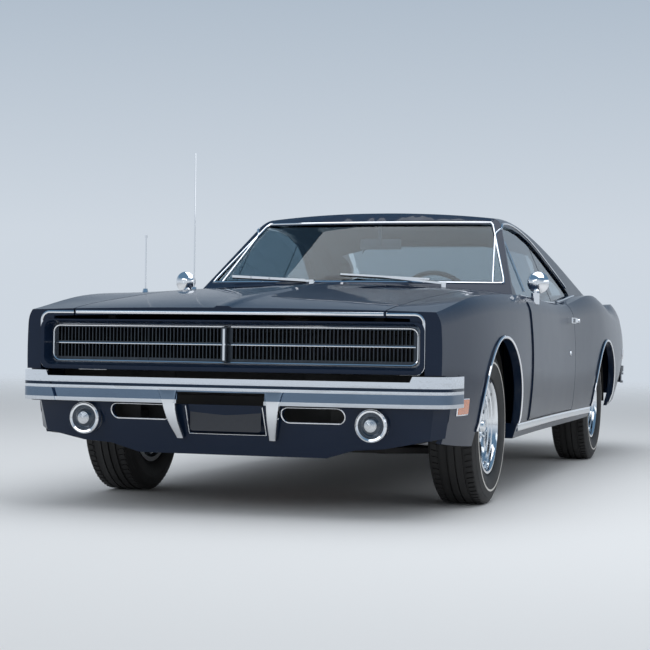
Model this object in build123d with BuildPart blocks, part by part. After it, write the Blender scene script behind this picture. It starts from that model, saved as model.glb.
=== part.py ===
from build123d import *
import os
from collections import namedtuple
from math import atan2, cos, sin

# A two-door fastback muscle car of the late 1960s, in millimetres.
# The car faces -Y, its left side is +X and the road is Z = 0.
# The origin is on the road, midway along and across the car.

os.makedirs("parts", exist_ok=True)

# Driving dimensions
LENGTH = 5284
WIDTH = 1946
WHEELBASE = 2972
FRONT_OVERHANG = 952
TRACK = 1570
TYRE_RADIUS = 334
TYRE_WIDTH = 215
RIM_RADIUS = 190
SHUT_GAP = 5
SEAT = 0.3
SHEET = 30
ROOF_SHEET = 42
SILL_TOP = 330
ROOF_HEIGHT = 1382
HOOD_HALF_FRONT = 655
HOOD_HALF_REAR = 690
DECK_HALF = 630
DOOR_LENGTH = 1325
DOOR_INNER_X = 775
POST_X = 812
FLOOR_HALF = 700
FLOOR_Z = 285
FLOOR_SHEET = 18
TRUNK_Z = 470
WHEEL_ROOM = 400
REAR_ROOM_X = 600
FRONT_ROOM_X = 488
FRONT_ARCH_RADIUS = 378
REAR_ARCH_RADIUS = 368
ARCH_LIP = 16
GLASS_DEPTH = 12
GLASS_THICKNESS = 6

# Places worked out from them
HALF_LENGTH = LENGTH / 2
HALF_WIDTH = WIDTH / 2
FRONT_AXLE = -HALF_LENGTH + FRONT_OVERHANG
REAR_AXLE = FRONT_AXLE + WHEELBASE
AXLE_HEIGHT = TYRE_RADIUS
WHEEL_X = TRACK / 2
NOSE_TIP = -HALF_LENGTH + 26
NOSE_CORNER = NOSE_TIP + 46
NOSE_HALF = HALF_WIDTH - 107
TAIL_Y = HALF_LENGTH - 62
DOOR_FRONT = FRONT_AXLE + 640
DOOR_REAR = DOOR_FRONT + DOOR_LENGTH
HOOD_REAR = DOOR_FRONT + 50
DECK_FRONT = REAR_AXLE + 165
DECK_REAR = TAIL_Y - 50
ROOF_SEAM = DOOR_REAR + 290
BACKLIGHT_TOP = DOOR_REAR + 515
BACKLIGHT_BASE = BACKLIGHT_TOP + 540
POST_REAR = DOOR_FRONT + 298


def write(builder, name):
    builder.part.label = name
    export_step(builder.part, f"parts/{name}.step")


# Tool solids, each drawn in one view of the car and pushed through it

def plan_prism(points, low=-100, high=2000):
    with BuildPart() as prism:
        with BuildSketch(Plane.XY.offset(low)):
            with BuildLine():
                Polyline(*points, close=True)
            make_face()
        extrude(amount=high - low)
    return prism.part


def side_prism(points, low=0, high=1200, corner=0):
    # points are (y, z)
    with BuildPart() as prism:
        with BuildSketch(Plane.YZ.offset(low)) as outline:
            with BuildLine():
                Polyline(*points, close=True)
            make_face()
            if corner:
                fillet(outline.vertices(), corner)
        extrude(amount=high - low)
    return prism.part


def front_prism(points, low, high, corner=0):
    # points are (x, z)
    with BuildPart() as prism:
        with BuildSketch(Plane.XZ.offset(-high)) as outline:
            with BuildLine():
                Polyline(*points, close=True)
            make_face()
            if corner:
                fillet(outline.vertices(), corner)
        extrude(amount=high - low)
    return prism.part


def block(x_range, y_range, z_range):
    (x0, x1), (y0, y1), (z0, z1) = x_range, y_range, z_range
    with BuildPart() as box:
        with BuildSketch(Plane.XY.offset(z0)):
            with Locations(((x0 + x1) / 2, (y0 + y1) / 2)):
                Rectangle(x1 - x0, y1 - y0)
        extrude(amount=z1 - z0)
    return box.part


# The lower body: half sections from the sill's edge up over the fender to the centre line.
# Widths are given as the distance in from the half width of the car.
Section = namedtuple(
    "Section",
    "y sill_in sill_z low_in low_z mid_in mid_z side_in side_z crest_in crest_z edge_x edge_z centre_z crown",
)
BODY = [
    Section(NOSE_TIP - 40, 135, 330, 115, 420, 103, 600, 107, 745, 125, 800, 655, 802, 812, 0.13),
    Section(FRONT_AXLE - 460, 93, 275, 65, 370, 48, 590, 61, 800, 101, 870, 660, 864, 886, 0.13),
    Section(FRONT_AXLE, 68, 262, 41, 355, 23, 590, 41, 825, 89, 902, 668, 904, 928, 0.14),
    Section(DOOR_FRONT, 73, 262, 43, 350, 25, 590, 39, 830, 83, 914, 685, 940, 968, 0.18),
    Section(DOOR_FRONT + 700, 83, 262, 53, 350, 37, 590, 49, 825, 89, 902, 690, 935, 976, 0.25),
    Section(DOOR_REAR, 83, 262, 53, 350, 37, 590, 49, 825, 91, 904, 690, 935, 976, 0.25),
    Section(REAR_AXLE - 370, 68, 270, 40, 360, 16, 600, 32, 860, 85, 966, 670, 968, 986, 0.25),
    Section(REAR_AXLE, 60, 285, 32, 370, 7, 610, 26, 865, 83, 966, 655, 962, 976, 0.25),
    Section(REAR_AXLE + 620, 73, 320, 43, 400, 21, 620, 43, 830, 101, 905, 645, 915, 928, 0.25),
    Section(TAIL_Y + 40, 143, 370, 121, 440, 101, 620, 111, 775, 147, 838, 635, 858, 868, 0.25),
]


def body_half(side=0, top=0, spare=0):
    # the whole left half of the lower body, its side moved in by side and its top down by top
    # spare carries it below the sill and over the centre line, for a solid that is cut away
    with BuildPart() as half:
        for row in BODY:
            with BuildSketch(Plane.XZ.offset(-row.y)):
                with BuildLine():
                    edge_z = row.edge_z - top
                    centre_z = row.centre_z - top
                    sill_z = row.sill_z - spare
                    sill = (HALF_WIDTH - row.sill_in - side, sill_z)
                    low = (HALF_WIDTH - row.low_in - side, row.low_z)
                    middle = (HALF_WIDTH - row.mid_in - side, row.mid_z)
                    shoulder = (HALF_WIDTH - row.side_in - side, row.side_z)
                    crest = (HALF_WIDTH - row.crest_in - side, row.crest_z - top)
                    crown = (edge_z + centre_z) / 2 + row.crown * (centre_z - edge_z)
                    Line((-spare, sill_z), sill)
                    Line(sill, low)
                    flank = ThreePointArc(low, middle, shoulder)
                    TangentArc(shoulder, crest, tangent=flank % 1)
                    Line(crest, (row.edge_x, edge_z))
                    ThreePointArc((row.edge_x, edge_z), (row.edge_x / 2, crown), (0, centre_z))
                    if spare:
                        Line((0, centre_z), (-spare, centre_z))
                    Line((-spare, centre_z), (-spare, sill_z))
                make_face()
        loft()
    return half.part


OUTER = body_half()
LINING = body_half(SHEET, SHEET - 2, 40)
PROUD = body_half(-6)
UNDER_SKIN = LINING.moved(Location((0, 0, -SEAT)))

# The nose is a shallow arrow in plan, and the tail a shallow bow
NOSE_AREA = plan_prism([(0, NOSE_TIP), (NOSE_HALF, NOSE_CORNER), (NOSE_HALF + 120, NOSE_CORNER + 60),
                        (NOSE_HALF + 120, 0), (0, 0)])
TAIL_AREA = plan_prism([(0, TAIL_Y), (NOSE_HALF - 60, TAIL_Y - 14), (NOSE_HALF + 120, TAIL_Y - 50),
                        (NOSE_HALF + 120, 0), (0, 0)])
NOSE_ANGLE = atan2(NOSE_CORNER - NOSE_TIP, NOSE_HALF)
NOSE_PLANE = Plane(origin=(0, NOSE_TIP, 0), x_dir=(cos(NOSE_ANGLE), sin(NOSE_ANGLE), 0),
                   z_dir=(sin(NOSE_ANGLE), -cos(NOSE_ANGLE), 0))


def nose_frame(half_width, low, high, corner, near, far, grow=0):
    # a rounded bar of the nose's own left half, between two depths behind its face
    with BuildPart() as bar:
        with BuildSketch(NOSE_PLANE.offset(-near)):
            with Locations((0, (low + high) / 2)):
                RectangleRounded(2 * half_width, high - low, corner)
        if grow:
            with BuildSketch(NOSE_PLANE.offset(-far)):
                with Locations((0, (low + high) / 2)):
                    RectangleRounded(2 * (half_width - grow), high - low - 2 * grow, corner - grow / 2)
            loft(ruled=True)
        else:
            extrude(amount=near - far)
        split(bisect_by=Plane.YZ, keep=Keep.TOP)
    return bar.part


def arch_tool(axle, radius, low=500, high=1200):
    with BuildPart() as arch:
        with BuildSketch(Plane.YZ.offset(low)):
            with Locations((axle, AXLE_HEIGHT)):
                Circle(radius)
        extrude(amount=high - low)
    return arch.part


def arch_lip(axle, radius):
    # the rolled lip round a wheel opening, a little proud of the side
    with BuildPart() as lip:
        add(PROUD)
        add(block((500, 1200), (axle - 600, axle + 600), (SILL_TOP + SEAT, 1200)), mode=Mode.INTERSECT)
        add(arch_tool(axle, radius + ARCH_LIP), mode=Mode.INTERSECT)
        add(arch_tool(axle, radius), mode=Mode.SUBTRACT)
        add(LINING, mode=Mode.SUBTRACT)
    return lip.part


def write_pair(left, name):
    write(left, f"{name}_left")
    with BuildPart() as right:
        mirror(left.part, about=Plane.YZ)
    write(right, f"{name}_right")


# The bumpers are bars bent round the corners of the car, drawn in plan.
FRONT_BAR = [(0, -HALF_LENGTH), (450, -HALF_LENGTH + 11), (800, -HALF_LENGTH + 44), (893, -HALF_LENGTH + 90),
             (917, -HALF_LENGTH + 190), (922, -HALF_LENGTH + 250)]
REAR_BAR = [(0, HALF_LENGTH), (450, HALF_LENGTH - 8), (790, HALF_LENGTH - 36), (886, HALF_LENGTH - 82),
            (913, HALF_LENGTH - 180), (920, HALF_LENGTH - 260)]


def bar_area(points, inset, low, high):
    # the plan of a bumper's left half filled in toward the middle of the car
    with BuildPart() as area:
        with BuildSketch(Plane.XY.offset(low)):
            with BuildLine():
                back = 1 if points[0][1] < 0 else -1
                moved = [(points[0][0], points[0][1] + back * inset)]
                for x, y in points[1:3]:
                    moved.append((x - inset * 0.2, y + back * inset))
                moved.append((points[3][0] - inset * 0.8, points[3][1] + back * inset * 0.8))
                for x, y in points[4:]:
                    moved.append((x - inset, y + back * inset * 0.2))
                Spline(*moved, tangents=((1, 0), (0.08, back)))
                last = moved[-1]
                inner_y = back * (-HALF_LENGTH + 400)
                Polyline(last, (last[0], inner_y), (0, inner_y), moved[0])
            make_face()
        extrude(amount=high - low)
    return area.part


# Each bar has a lip along its foot, a hollow band, and a broad face with a groove.
FRONT_BAR_LOW = 440
FRONT_BAR_FACE = 492
FRONT_BAR_HIGH = 540
FRONT_END_HIGH = 562
FRONT_END_X = 772
REAR_BAR_LOW = 432
REAR_BAR_FACE = 486
REAR_BAR_HIGH = 545
BAR_SHEET = 22
BAR_LIP = 15
BAR_HOLLOW = 11
BAR_GROOVE = 8
BAR_WRAP = 270
BAR_GAP = 5


def bumper_bar(points, low, face, high):
    groove = face + 14
    with BuildPart() as bar:
        for z0, z1, inset in [(low, low + BAR_LIP, 2), (low + BAR_LIP, face, BAR_HOLLOW), (face, groove, 0),
                              (groove, groove + BAR_GROOVE, 5), (groove + BAR_GROOVE, high, 0)]:
            add(bar_area(points, inset, z0, z1))
        add(bar_area(points, BAR_SHEET, low - 20, high + 20), mode=Mode.SUBTRACT)
    return bar.part


def bumper_room(points, near, far, low, high):
    # the space cut out of the body's corner for the end of a bumper
    with BuildPart() as room:
        add(block((0, 1200), (min(near, far), max(near, far)), (low - BAR_GAP, high + BAR_GAP)))
        add(bar_area(points, BAR_SHEET + 2, low - 50, high + 50), mode=Mode.SUBTRACT)
    return room.part


FRONT_BAR_ROOM = bumper_room(FRONT_BAR, -HALF_LENGTH - 50, -HALF_LENGTH + BAR_WRAP + BAR_GAP, FRONT_BAR_LOW,
                             FRONT_END_HIGH)
REAR_BAR_ROOM = bumper_room(REAR_BAR, HALF_LENGTH + 50, HALF_LENGTH - BAR_WRAP - BAR_GAP, REAR_BAR_LOW,
                            REAR_BAR_HIGH)

# The greenhouse: half sections from the belt over the drip rail to the middle of the roof
Station = namedtuple("Station", "y rail_z centre_z")
GREENHOUSE = [
    Station(DOOR_FRONT + 50, ROOF_HEIGHT - 142, ROOF_HEIGHT - 82),
    Station(DOOR_FRONT + 620, ROOF_HEIGHT - 70, ROOF_HEIGHT - 28),
    Station(DOOR_FRONT + 1150, ROOF_HEIGHT - 54, ROOF_HEIGHT),
    Station(DOOR_FRONT + 1650, ROOF_HEIGHT - 120, ROOF_HEIGHT - 30),
    Station(DOOR_FRONT + 2050, ROOF_HEIGHT - 217, ROOF_HEIGHT - 120),
    Station(DOOR_FRONT + 2450, ROOF_HEIGHT - 337, ROOF_HEIGHT - 252),
    Station(DOOR_FRONT + 2950, ROOF_HEIGHT - 452, ROOF_HEIGHT - 410),
]
BELT_Z = 930
BELT_X = 806
SIDE_LEAN = 0.43
GREENHOUSE_FOOT = 850


def side_x(z):
    return BELT_X - SIDE_LEAN * (z - BELT_Z)


def screen_area(shift):
    # everything behind the windshield's surface, which is moved back by shift
    with BuildPart() as area:
        for z, corner_x, corner_y, centre_y in [(840, 850, -965, -1105), (1440, 565, -185, -245)]:
            with BuildSketch(Plane.XY.offset(z)):
                with BuildLine():
                    corner = (corner_x, corner_y + shift)
                    centre = (0, centre_y + shift)
                    middle = (corner_x / 2, centre_y + shift + 0.25 * (corner_y - centre_y))
                    ThreePointArc(centre, middle, corner)
                    Polyline(corner, (1200, corner_y + shift + 120), (1200, 2600), (0, 2600), centre)
                make_face()
        loft(ruled=True)
    return area.part


def backlight_area(shift):
    # the hollow between the two buttresses, its floor lowered by shift
    with BuildPart() as area:
        add(side_prism([(BACKLIGHT_TOP, 1316 - shift), (BACKLIGHT_BASE, 962 - shift), (2200, 900 - shift),
                        (2200, 1600), (BACKLIGHT_TOP - shift * 0.6, 1600)], 0, 900))
        add(plan_prism([(0, 0), (530, 0), (545, BACKLIGHT_TOP), (DECK_HALF + 12, DECK_FRONT),
                        (DECK_HALF + 12, 2300), (0, 2300)]), mode=Mode.INTERSECT)
    return area.part


def greenhouse_half(inset, spare=0):
    with BuildPart() as half:
        for row in GREENHOUSE:
            with BuildSketch(Plane.XZ.offset(-row.y)):
                with BuildLine():
                    rail_z = row.rail_z - inset
                    centre_z = row.centre_z - inset
                    foot = (side_x(GREENHOUSE_FOOT) - inset, GREENHOUSE_FOOT - spare)
                    rail_low = (side_x(rail_z - 34) - inset, rail_z - 34)
                    rail_high = (side_x(rail_z + 12) - inset - 42, rail_z + 8)
                    middle = (rail_high[0] / 2, rail_high[1] + 0.77 * (centre_z - rail_high[1]))
                    Line((-spare, GREENHOUSE_FOOT - spare), foot)
                    side = Line(foot, rail_low)
                    TangentArc(rail_low, rail_high, tangent=side % 1)
                    ThreePointArc(rail_high, middle, (0, centre_z))
                    if spare:
                        Line((0, centre_z), (-spare, centre_z))
                    Line((-spare, centre_z), (-spare, GREENHOUSE_FOOT - spare))
                make_face()
        loft()
        add(screen_area(inset * 0.75), mode=Mode.INTERSECT)
        add(backlight_area(inset), mode=Mode.SUBTRACT)
    return half.part


CABIN_OUTER = greenhouse_half(0)
CABIN_INNER = greenhouse_half(ROOF_SHEET, 30)

# Body panels

GRILLE_LOW = 568
GRILLE_HIGH = 771
GRILLE_HALF = HALF_WIDTH - 160
VALANCE_TOP = 436
VALANCE_REAR = NOSE_TIP + 176
TAIL_SKIN = TAIL_Y - 45
TAIL_HALF = HALF_WIDTH - 185
SCREEN_OPENING = [(748, 990), (602, 1296), (-50, 1296), (-50, 990)]
RAIL_LINE = [(-370, 1288), (-110, 1288), (80, 1273), (290, 1236), (460, 1180), (620, 1115), (770, 1052),
             (905, 985)]

with BuildPart() as nose_wall:
    add(OUTER)
    add(block((GRILLE_HALF - 60, 1200), (NOSE_TIP - 60, NOSE_CORNER + 50), (VALANCE_TOP, 1200)),
        mode=Mode.INTERSECT)
    add(NOSE_AREA, mode=Mode.INTERSECT)
with BuildPart() as front_fender_left:
    add(OUTER)
    add(plan_prism([(HOOD_HALF_FRONT + SHUT_GAP, NOSE_TIP - 60), (1200, NOSE_TIP - 60),
                    (1200, DOOR_FRONT - SHUT_GAP), (HOOD_HALF_REAR + SHUT_GAP, DOOR_FRONT - SHUT_GAP)]),
        mode=Mode.INTERSECT)
    add(NOSE_AREA, mode=Mode.INTERSECT)
    add(LINING, mode=Mode.SUBTRACT)
    add(nose_wall.part)
    add(arch_tool(FRONT_AXLE, FRONT_ARCH_RADIUS + 8), mode=Mode.SUBTRACT)
    add(arch_lip(FRONT_AXLE, FRONT_ARCH_RADIUS))
    add(block((0, 1200), (FRONT_AXLE, 0), (0, SILL_TOP + SEAT)), mode=Mode.SUBTRACT)
    add(block((0, 1200), (NOSE_TIP - 60, VALANCE_REAR), (0, VALANCE_TOP)), mode=Mode.SUBTRACT)
    add(nose_frame(GRILLE_HALF + SEAT, GRILLE_LOW - 140, GRILLE_HIGH + SEAT, 36, -60, 90), mode=Mode.SUBTRACT)
    add(FRONT_BAR_ROOM, mode=Mode.SUBTRACT)
write_pair(front_fender_left, "front_fender")

# The hood has a low spine down its middle and a shallow scallop on each side of it
SPINE_HALF = 42
SPINE_HEIGHT = 7
SCALLOP_DEPTH = 9
with BuildPart() as spine:
    for row in BODY:
        with BuildSketch(Plane.XZ.offset(-row.y)):
            Polygon((0, row.centre_z - 20), (SPINE_HALF, row.centre_z - 20), (SPINE_HALF, row.centre_z - 3),
                    (SPINE_HALF - 16, row.centre_z + SPINE_HEIGHT), (0, row.centre_z + SPINE_HEIGHT),
                    align=None)
    loft()
with BuildPart() as scallop:
    add(plan_prism([(225, HOOD_REAR - 560), (445, HOOD_REAR - 600), (500, HOOD_REAR - 150),
                    (250, HOOD_REAR - 110)], 800, 1100))
    add(body_half(0, SCALLOP_DEPTH), mode=Mode.SUBTRACT)
with BuildPart() as hood:
    add(OUTER)
    add(spine.part)
    add(plan_prism([(0, NOSE_TIP - 60), (HOOD_HALF_FRONT, NOSE_TIP - 60), (HOOD_HALF_REAR, HOOD_REAR),
                    (0, HOOD_REAR)], 700), mode=Mode.INTERSECT)
    add(NOSE_AREA, mode=Mode.INTERSECT)
    add(LINING, mode=Mode.SUBTRACT)
    add(scallop.part, mode=Mode.SUBTRACT)
    mirror(about=Plane.YZ)
write(hood, "hood")

with BuildPart() as cowl:
    add(OUTER)
    add(plan_prism([(0, HOOD_REAR + SHUT_GAP), (HOOD_HALF_REAR + SHUT_GAP, HOOD_REAR + SHUT_GAP),
                    (HOOD_HALF_REAR + SHUT_GAP, DOOR_FRONT), (POST_X - SHUT_GAP, DOOR_FRONT),
                    (POST_X - SHUT_GAP, POST_REAR - SHUT_GAP),
                    (DOOR_INNER_X - SHUT_GAP, POST_REAR - SHUT_GAP),
                    (DOOR_INNER_X - SHUT_GAP, HOOD_REAR + 160), (0, HOOD_REAR + 160)], 800),
        mode=Mode.INTERSECT)
    add(LINING, mode=Mode.SUBTRACT)
    add(block((FLOOR_HALF, POST_X - SHUT_GAP), (DOOR_FRONT, DOOR_FRONT + 90), (SILL_TOP + SEAT, 915)))
    for z in (450, 740):
        add(block((POST_X - 40, POST_X - SEAT), (DOOR_FRONT + 8, DOOR_FRONT + 45), (z, z + 60)))
    mirror(about=Plane.YZ)
write(cowl, "cowl")

with BuildPart() as roof:
    add(CABIN_OUTER)
    add(plan_prism([(0, -1200), (1000, -1200), (1000, ROOF_SEAM), (560, ROOF_SEAM), (560, BACKLIGHT_TOP + 30),
                    (0, BACKLIGHT_TOP + 30)]), mode=Mode.INTERSECT)
    add(CABIN_INNER, mode=Mode.SUBTRACT)
    add(front_prism(SCREEN_OPENING, -1100, -190), mode=Mode.SUBTRACT)
    add(side_prism([(-765, 800), (-745, 985), *RAIL_LINE, (905, 800)], 400, 1200), mode=Mode.SUBTRACT)
    add(OUTER, mode=Mode.SUBTRACT)
    mirror(about=Plane.YZ)
write(roof, "roof")

with BuildPart() as buttress:
    add(CABIN_OUTER)
    add(plan_prism([(560 + SEAT, ROOF_SEAM + SEAT), (1200, ROOF_SEAM + SEAT), (1200, 2800),
                    (DECK_HALF + SHUT_GAP, 2800), (DECK_HALF + SHUT_GAP, DECK_FRONT - SHUT_GAP),
                    (560 + SEAT, DECK_FRONT - SHUT_GAP)], 900), mode=Mode.INTERSECT)
    add(CABIN_INNER, mode=Mode.SUBTRACT)
    add(side_prism([(-400, 800), (-400, 1300), *RAIL_LINE[1:], (905, 800)], 400, 1200), mode=Mode.SUBTRACT)
with BuildPart() as door_post:
    add(OUTER)
    add(block((700, 1200), (DOOR_REAR + SHUT_GAP, DOOR_REAR + SHUT_GAP + 25), (SILL_TOP + SEAT, 1200)),
        mode=Mode.INTERSECT)
with BuildPart() as tail_wall:
    add(OUTER)
    add(block((TAIL_HALF + SEAT, 1200), (TAIL_SKIN, TAIL_Y + 60), (0, 1200)), mode=Mode.INTERSECT)
    add(TAIL_AREA, mode=Mode.INTERSECT)
with BuildPart() as quarter_panel_left:
    add(OUTER)
    add(LINING, mode=Mode.SUBTRACT)
    add(plan_prism([(700, DOOR_REAR + SHUT_GAP), (1200, DOOR_REAR + SHUT_GAP), (1200, 2800),
                    (DECK_HALF + SHUT_GAP, 2800), (DECK_HALF + SHUT_GAP, DECK_FRONT - SHUT_GAP),
                    (560 + SEAT, DECK_FRONT - SHUT_GAP), (560 + SEAT, 900)]), mode=Mode.INTERSECT)
    add(TAIL_AREA, mode=Mode.INTERSECT)
    add(buttress.part)
    add(door_post.part)
    add(tail_wall.part)
    add(block((DECK_HALF - 60, TAIL_HALF + SEAT), (TAIL_SKIN - SEAT, TAIL_Y + 60), (0, 1200)),
        mode=Mode.SUBTRACT)
    add(arch_tool(REAR_AXLE, REAR_ARCH_RADIUS + 8), mode=Mode.SUBTRACT)
    add(arch_lip(REAR_AXLE, REAR_ARCH_RADIUS))
    add(block((0, 1200), (0, REAR_AXLE), (0, SILL_TOP + SEAT)), mode=Mode.SUBTRACT)
    add(REAR_BAR_ROOM, mode=Mode.SUBTRACT)
write_pair(quarter_panel_left, "quarter_panel")

with BuildPart() as trunk_lid:
    add(OUTER)
    add(plan_prism([(0, DECK_FRONT), (DECK_HALF, DECK_FRONT), (DECK_HALF, DECK_REAR), (0, DECK_REAR)], 700),
        mode=Mode.INTERSECT)
    add(LINING, mode=Mode.SUBTRACT)
    mirror(about=Plane.YZ)
write(trunk_lid, "trunk_lid")

with BuildPart() as lid_stop:
    add(block((480, 560), (TAIL_SKIN - 40, TAIL_SKIN + 10), (780, 900)))
    add(UNDER_SKIN, mode=Mode.INTERSECT)
with BuildPart() as tail_panel:
    add(OUTER)
    add(block((0, TAIL_HALF), (TAIL_SKIN, TAIL_Y + 60), (0, 1200)), mode=Mode.INTERSECT)
    add(TAIL_AREA, mode=Mode.INTERSECT)
    add(front_prism([(150, 640), (735, 640), (735, 752), (150, 752)], TAIL_Y - 26, TAIL_Y + 100, 30),
        mode=Mode.SUBTRACT)
    add(REAR_BAR_ROOM, mode=Mode.SUBTRACT)
    add(lid_stop.part)
    mirror(about=Plane.YZ)
write(tail_panel, "tail_panel")

with BuildPart() as rear_marker:
    add(PROUD)
    add(block((800, 1200), (REAR_AXLE + 900, REAR_AXLE + 1020), (590, 650)), mode=Mode.INTERSECT)
    add(OUTER, mode=Mode.SUBTRACT)
with BuildPart() as tail_lamps:
    add(front_prism([(150 + SEAT, 640 + SEAT), (735 - SEAT, 640 + SEAT), (735 - SEAT, 752 - SEAT),
                     (150 + SEAT, 752 - SEAT)], TAIL_Y - 26 + SEAT, TAIL_Y - 12, 30))
    add(rear_marker.part)
    mirror(about=Plane.YZ)
write(tail_lamps, "tail_lamps")

# The deck's front strip, under the backlight
with BuildPart() as lid_bracket:
    add(block((480, 520), (DECK_FRONT - 15, DECK_FRONT + 50), (860, 1000)))
    add(UNDER_SKIN, mode=Mode.INTERSECT)
    add(block((480, 520), (DECK_FRONT - 60, DECK_FRONT - 12), (860, 945)))
with BuildPart() as deck_filler:
    add(OUTER)
    add(plan_prism([(0, BACKLIGHT_BASE - 40), (560 - SEAT, BACKLIGHT_BASE - 40),
                    (560 - SEAT, DECK_FRONT - SHUT_GAP), (0, DECK_FRONT - SHUT_GAP)], 700),
        mode=Mode.INTERSECT)
    add(LINING, mode=Mode.SUBTRACT)
    add(lid_bracket.part)
    mirror(about=Plane.YZ)
write(deck_filler, "deck_filler")

with BuildPart() as sills:
    add(OUTER)
    add(block((FLOOR_HALF, 1200), (FRONT_AXLE + 390, REAR_AXLE - 380), (0, SILL_TOP)), mode=Mode.INTERSECT)
    mirror(about=Plane.YZ)
write(sills, "sills")

# Doors, with a raised leading edge and three blades that run back from it to a point
DOOR_LIP = 24
Flute = namedtuple("Flute", "z rise fall length")
FLUTES = [Flute(824, 4, 20, 300), Flute(562, 14, 16, 330), Flute(430, 11, 11, 360)]
with BuildPart() as door_edge:
    add(block((HALF_WIDTH - 120, 1200), (DOOR_FRONT, DOOR_FRONT + DOOR_LIP), (SILL_TOP + SHUT_GAP, 885)))
    for flute in FLUTES:
        add(side_prism([(DOOR_FRONT + 10, flute.z + flute.rise), (DOOR_FRONT + 90, flute.z + flute.rise),
                        (DOOR_FRONT + flute.length, flute.z), (DOOR_FRONT + 90, flute.z - flute.fall * 0.8),
                        (DOOR_FRONT + 10, flute.z - flute.fall)], HALF_WIDTH - 120))
    add(PROUD, mode=Mode.INTERSECT)
with BuildPart() as door_left:
    add(OUTER)
    add(plan_prism([(POST_X, DOOR_FRONT), (1200, DOOR_FRONT), (1200, DOOR_REAR), (HALF_WIDTH - 40, DOOR_REAR),
                    (DOOR_INNER_X, DOOR_REAR - 26), (DOOR_INNER_X, POST_REAR), (POST_X, POST_REAR)],
                   SILL_TOP + SHUT_GAP), mode=Mode.INTERSECT)
    add(door_edge.part)
write_pair(door_left, "door")

with BuildPart() as pane:
    with BuildSketch(Plane.XZ.offset(800)):
        with BuildLine():
            near = GLASS_DEPTH
            far = GLASS_DEPTH + GLASS_THICKNESS
            Polyline((side_x(880) - near, 880), (side_x(1320) - near, 1320), (side_x(1320) - far, 1320),
                     (side_x(880) - far, 880), close=True)
        make_face()
    extrude(amount=-1800)
with BuildPart() as door_glass_left:
    add(pane.part)
    add(side_prism([(-752, 880), (-736, 985), (-362, 1280), (-110, 1280), (80, 1265), (DOOR_REAR - 10, 1229),
                    (DOOR_REAR - 10, 880)], 400, 1200), mode=Mode.INTERSECT)
    add(OUTER.moved(Location((0, 0, SEAT))), mode=Mode.SUBTRACT)
write_pair(door_glass_left, "door_glass")

with BuildPart() as quarter_glass:
    add(pane.part)
    add(side_prism([(DOOR_REAR + 4, 880), (DOOR_REAR + 4, 1236), (290, 1236 - SEAT), (460, 1180 - SEAT),
                    (620, 1115 - SEAT), (770, 1052 - SEAT), (905 - SEAT, 985 - SEAT), (905 - SEAT, 880)],
                   400, 1200), mode=Mode.INTERSECT)
    add(OUTER.moved(Location((0, 0, SEAT))), mode=Mode.SUBTRACT)
    mirror(about=Plane.YZ)
write(quarter_glass, "quarter_glass")

with BuildPart() as windshield:
    add(screen_area(GLASS_DEPTH))
    add(screen_area(GLASS_DEPTH + 9), mode=Mode.SUBTRACT)
    add(front_prism([(748 - SEAT, 990 + SEAT), (602 - SEAT, 1296 - SEAT), (0, 1296 - SEAT), (0, 990 + SEAT)],
                    -1100, -190), mode=Mode.INTERSECT)
    mirror(about=Plane.YZ)
write(windshield, "windshield")

with BuildPart() as rear_window:
    add(backlight_area(GLASS_DEPTH + 6))
    add(backlight_area(GLASS_DEPTH), mode=Mode.SUBTRACT)
    add(plan_prism([(0, BACKLIGHT_TOP + 30 + SEAT), (515, BACKLIGHT_TOP + 30 + SEAT),
                    (540, BACKLIGHT_BASE - 40 - SEAT), (0, BACKLIGHT_BASE - 40 - SEAT)], 800),
        mode=Mode.INTERSECT)
    mirror(about=Plane.YZ)
write(rear_window, "rear_window")

# Front end
LAMP_X = 606
LAMP_Z = 370
LAMP_RADIUS = 60
LAMP_FACE = NOSE_TIP + 40
CHIN_Z = 232
PLATE_HALF = 158
PLATE_LOW = 322
SLOT_LENGTH = 250
SLOT_HEIGHT = 54
SLOT_X = 366
SLOT_Z = 402


def valance_area(inset):
    # the plan of the front apron's left half at its top and, tucked back, at its bottom
    with BuildPart() as area:
        for z, back, narrow in [(VALANCE_TOP - SEAT, 0, 0), (CHIN_Z - 30, 105, 34)]:
            with BuildSketch(Plane.XY.offset(z)):
                with BuildLine():
                    start = (0, NOSE_TIP + 18 + back + inset)
                    front = (600 - inset * 0.2, LAMP_FACE + back * 0.9 + inset)
                    corner = (836 - narrow - inset * 0.8, NOSE_TIP + 96 + back * 0.45 + inset * 0.6)
                    end = (882 - narrow - inset, VALANCE_REAR - SEAT)
                    Line(start, front)
                    TangentArc(front, corner, tangent=(1, 0.045))
                    Line(corner, end)
                    Polyline(end, (0, VALANCE_REAR - SEAT), start)
                make_face()
        loft(ruled=True)
    return area.part


VALANCE_SHEET = 22
with BuildPart() as plate_recess:
    add(block((0, PLATE_HALF), (-HALF_LENGTH, VALANCE_REAR), (PLATE_LOW, VALANCE_TOP + 10)))
    add(valance_area(VALANCE_SHEET / 2), mode=Mode.SUBTRACT)
with BuildPart() as front_valance:
    add(valance_area(0))
    add(valance_area(VALANCE_SHEET), mode=Mode.SUBTRACT)
    add(front_prism([(0, 0), (0, CHIN_Z), (400, CHIN_Z), (520, CHIN_Z + 36), (640, CHIN_Z + 44),
                     (900, CHIN_Z + 96), (900, 0)], -3000, -2000), mode=Mode.SUBTRACT)
    add(plate_recess.part, mode=Mode.SUBTRACT)
    with BuildSketch(Plane.XZ.offset(HALF_LENGTH)):
        with Locations((LAMP_X, LAMP_Z)):
            Circle(LAMP_RADIUS + SEAT)
        with Locations((SLOT_X, SLOT_Z)):
            SlotOverall(SLOT_LENGTH, SLOT_HEIGHT)
    extrude(amount=-180, mode=Mode.SUBTRACT)
    mirror(about=Plane.YZ)
write(front_valance, "front_valance")

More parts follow.
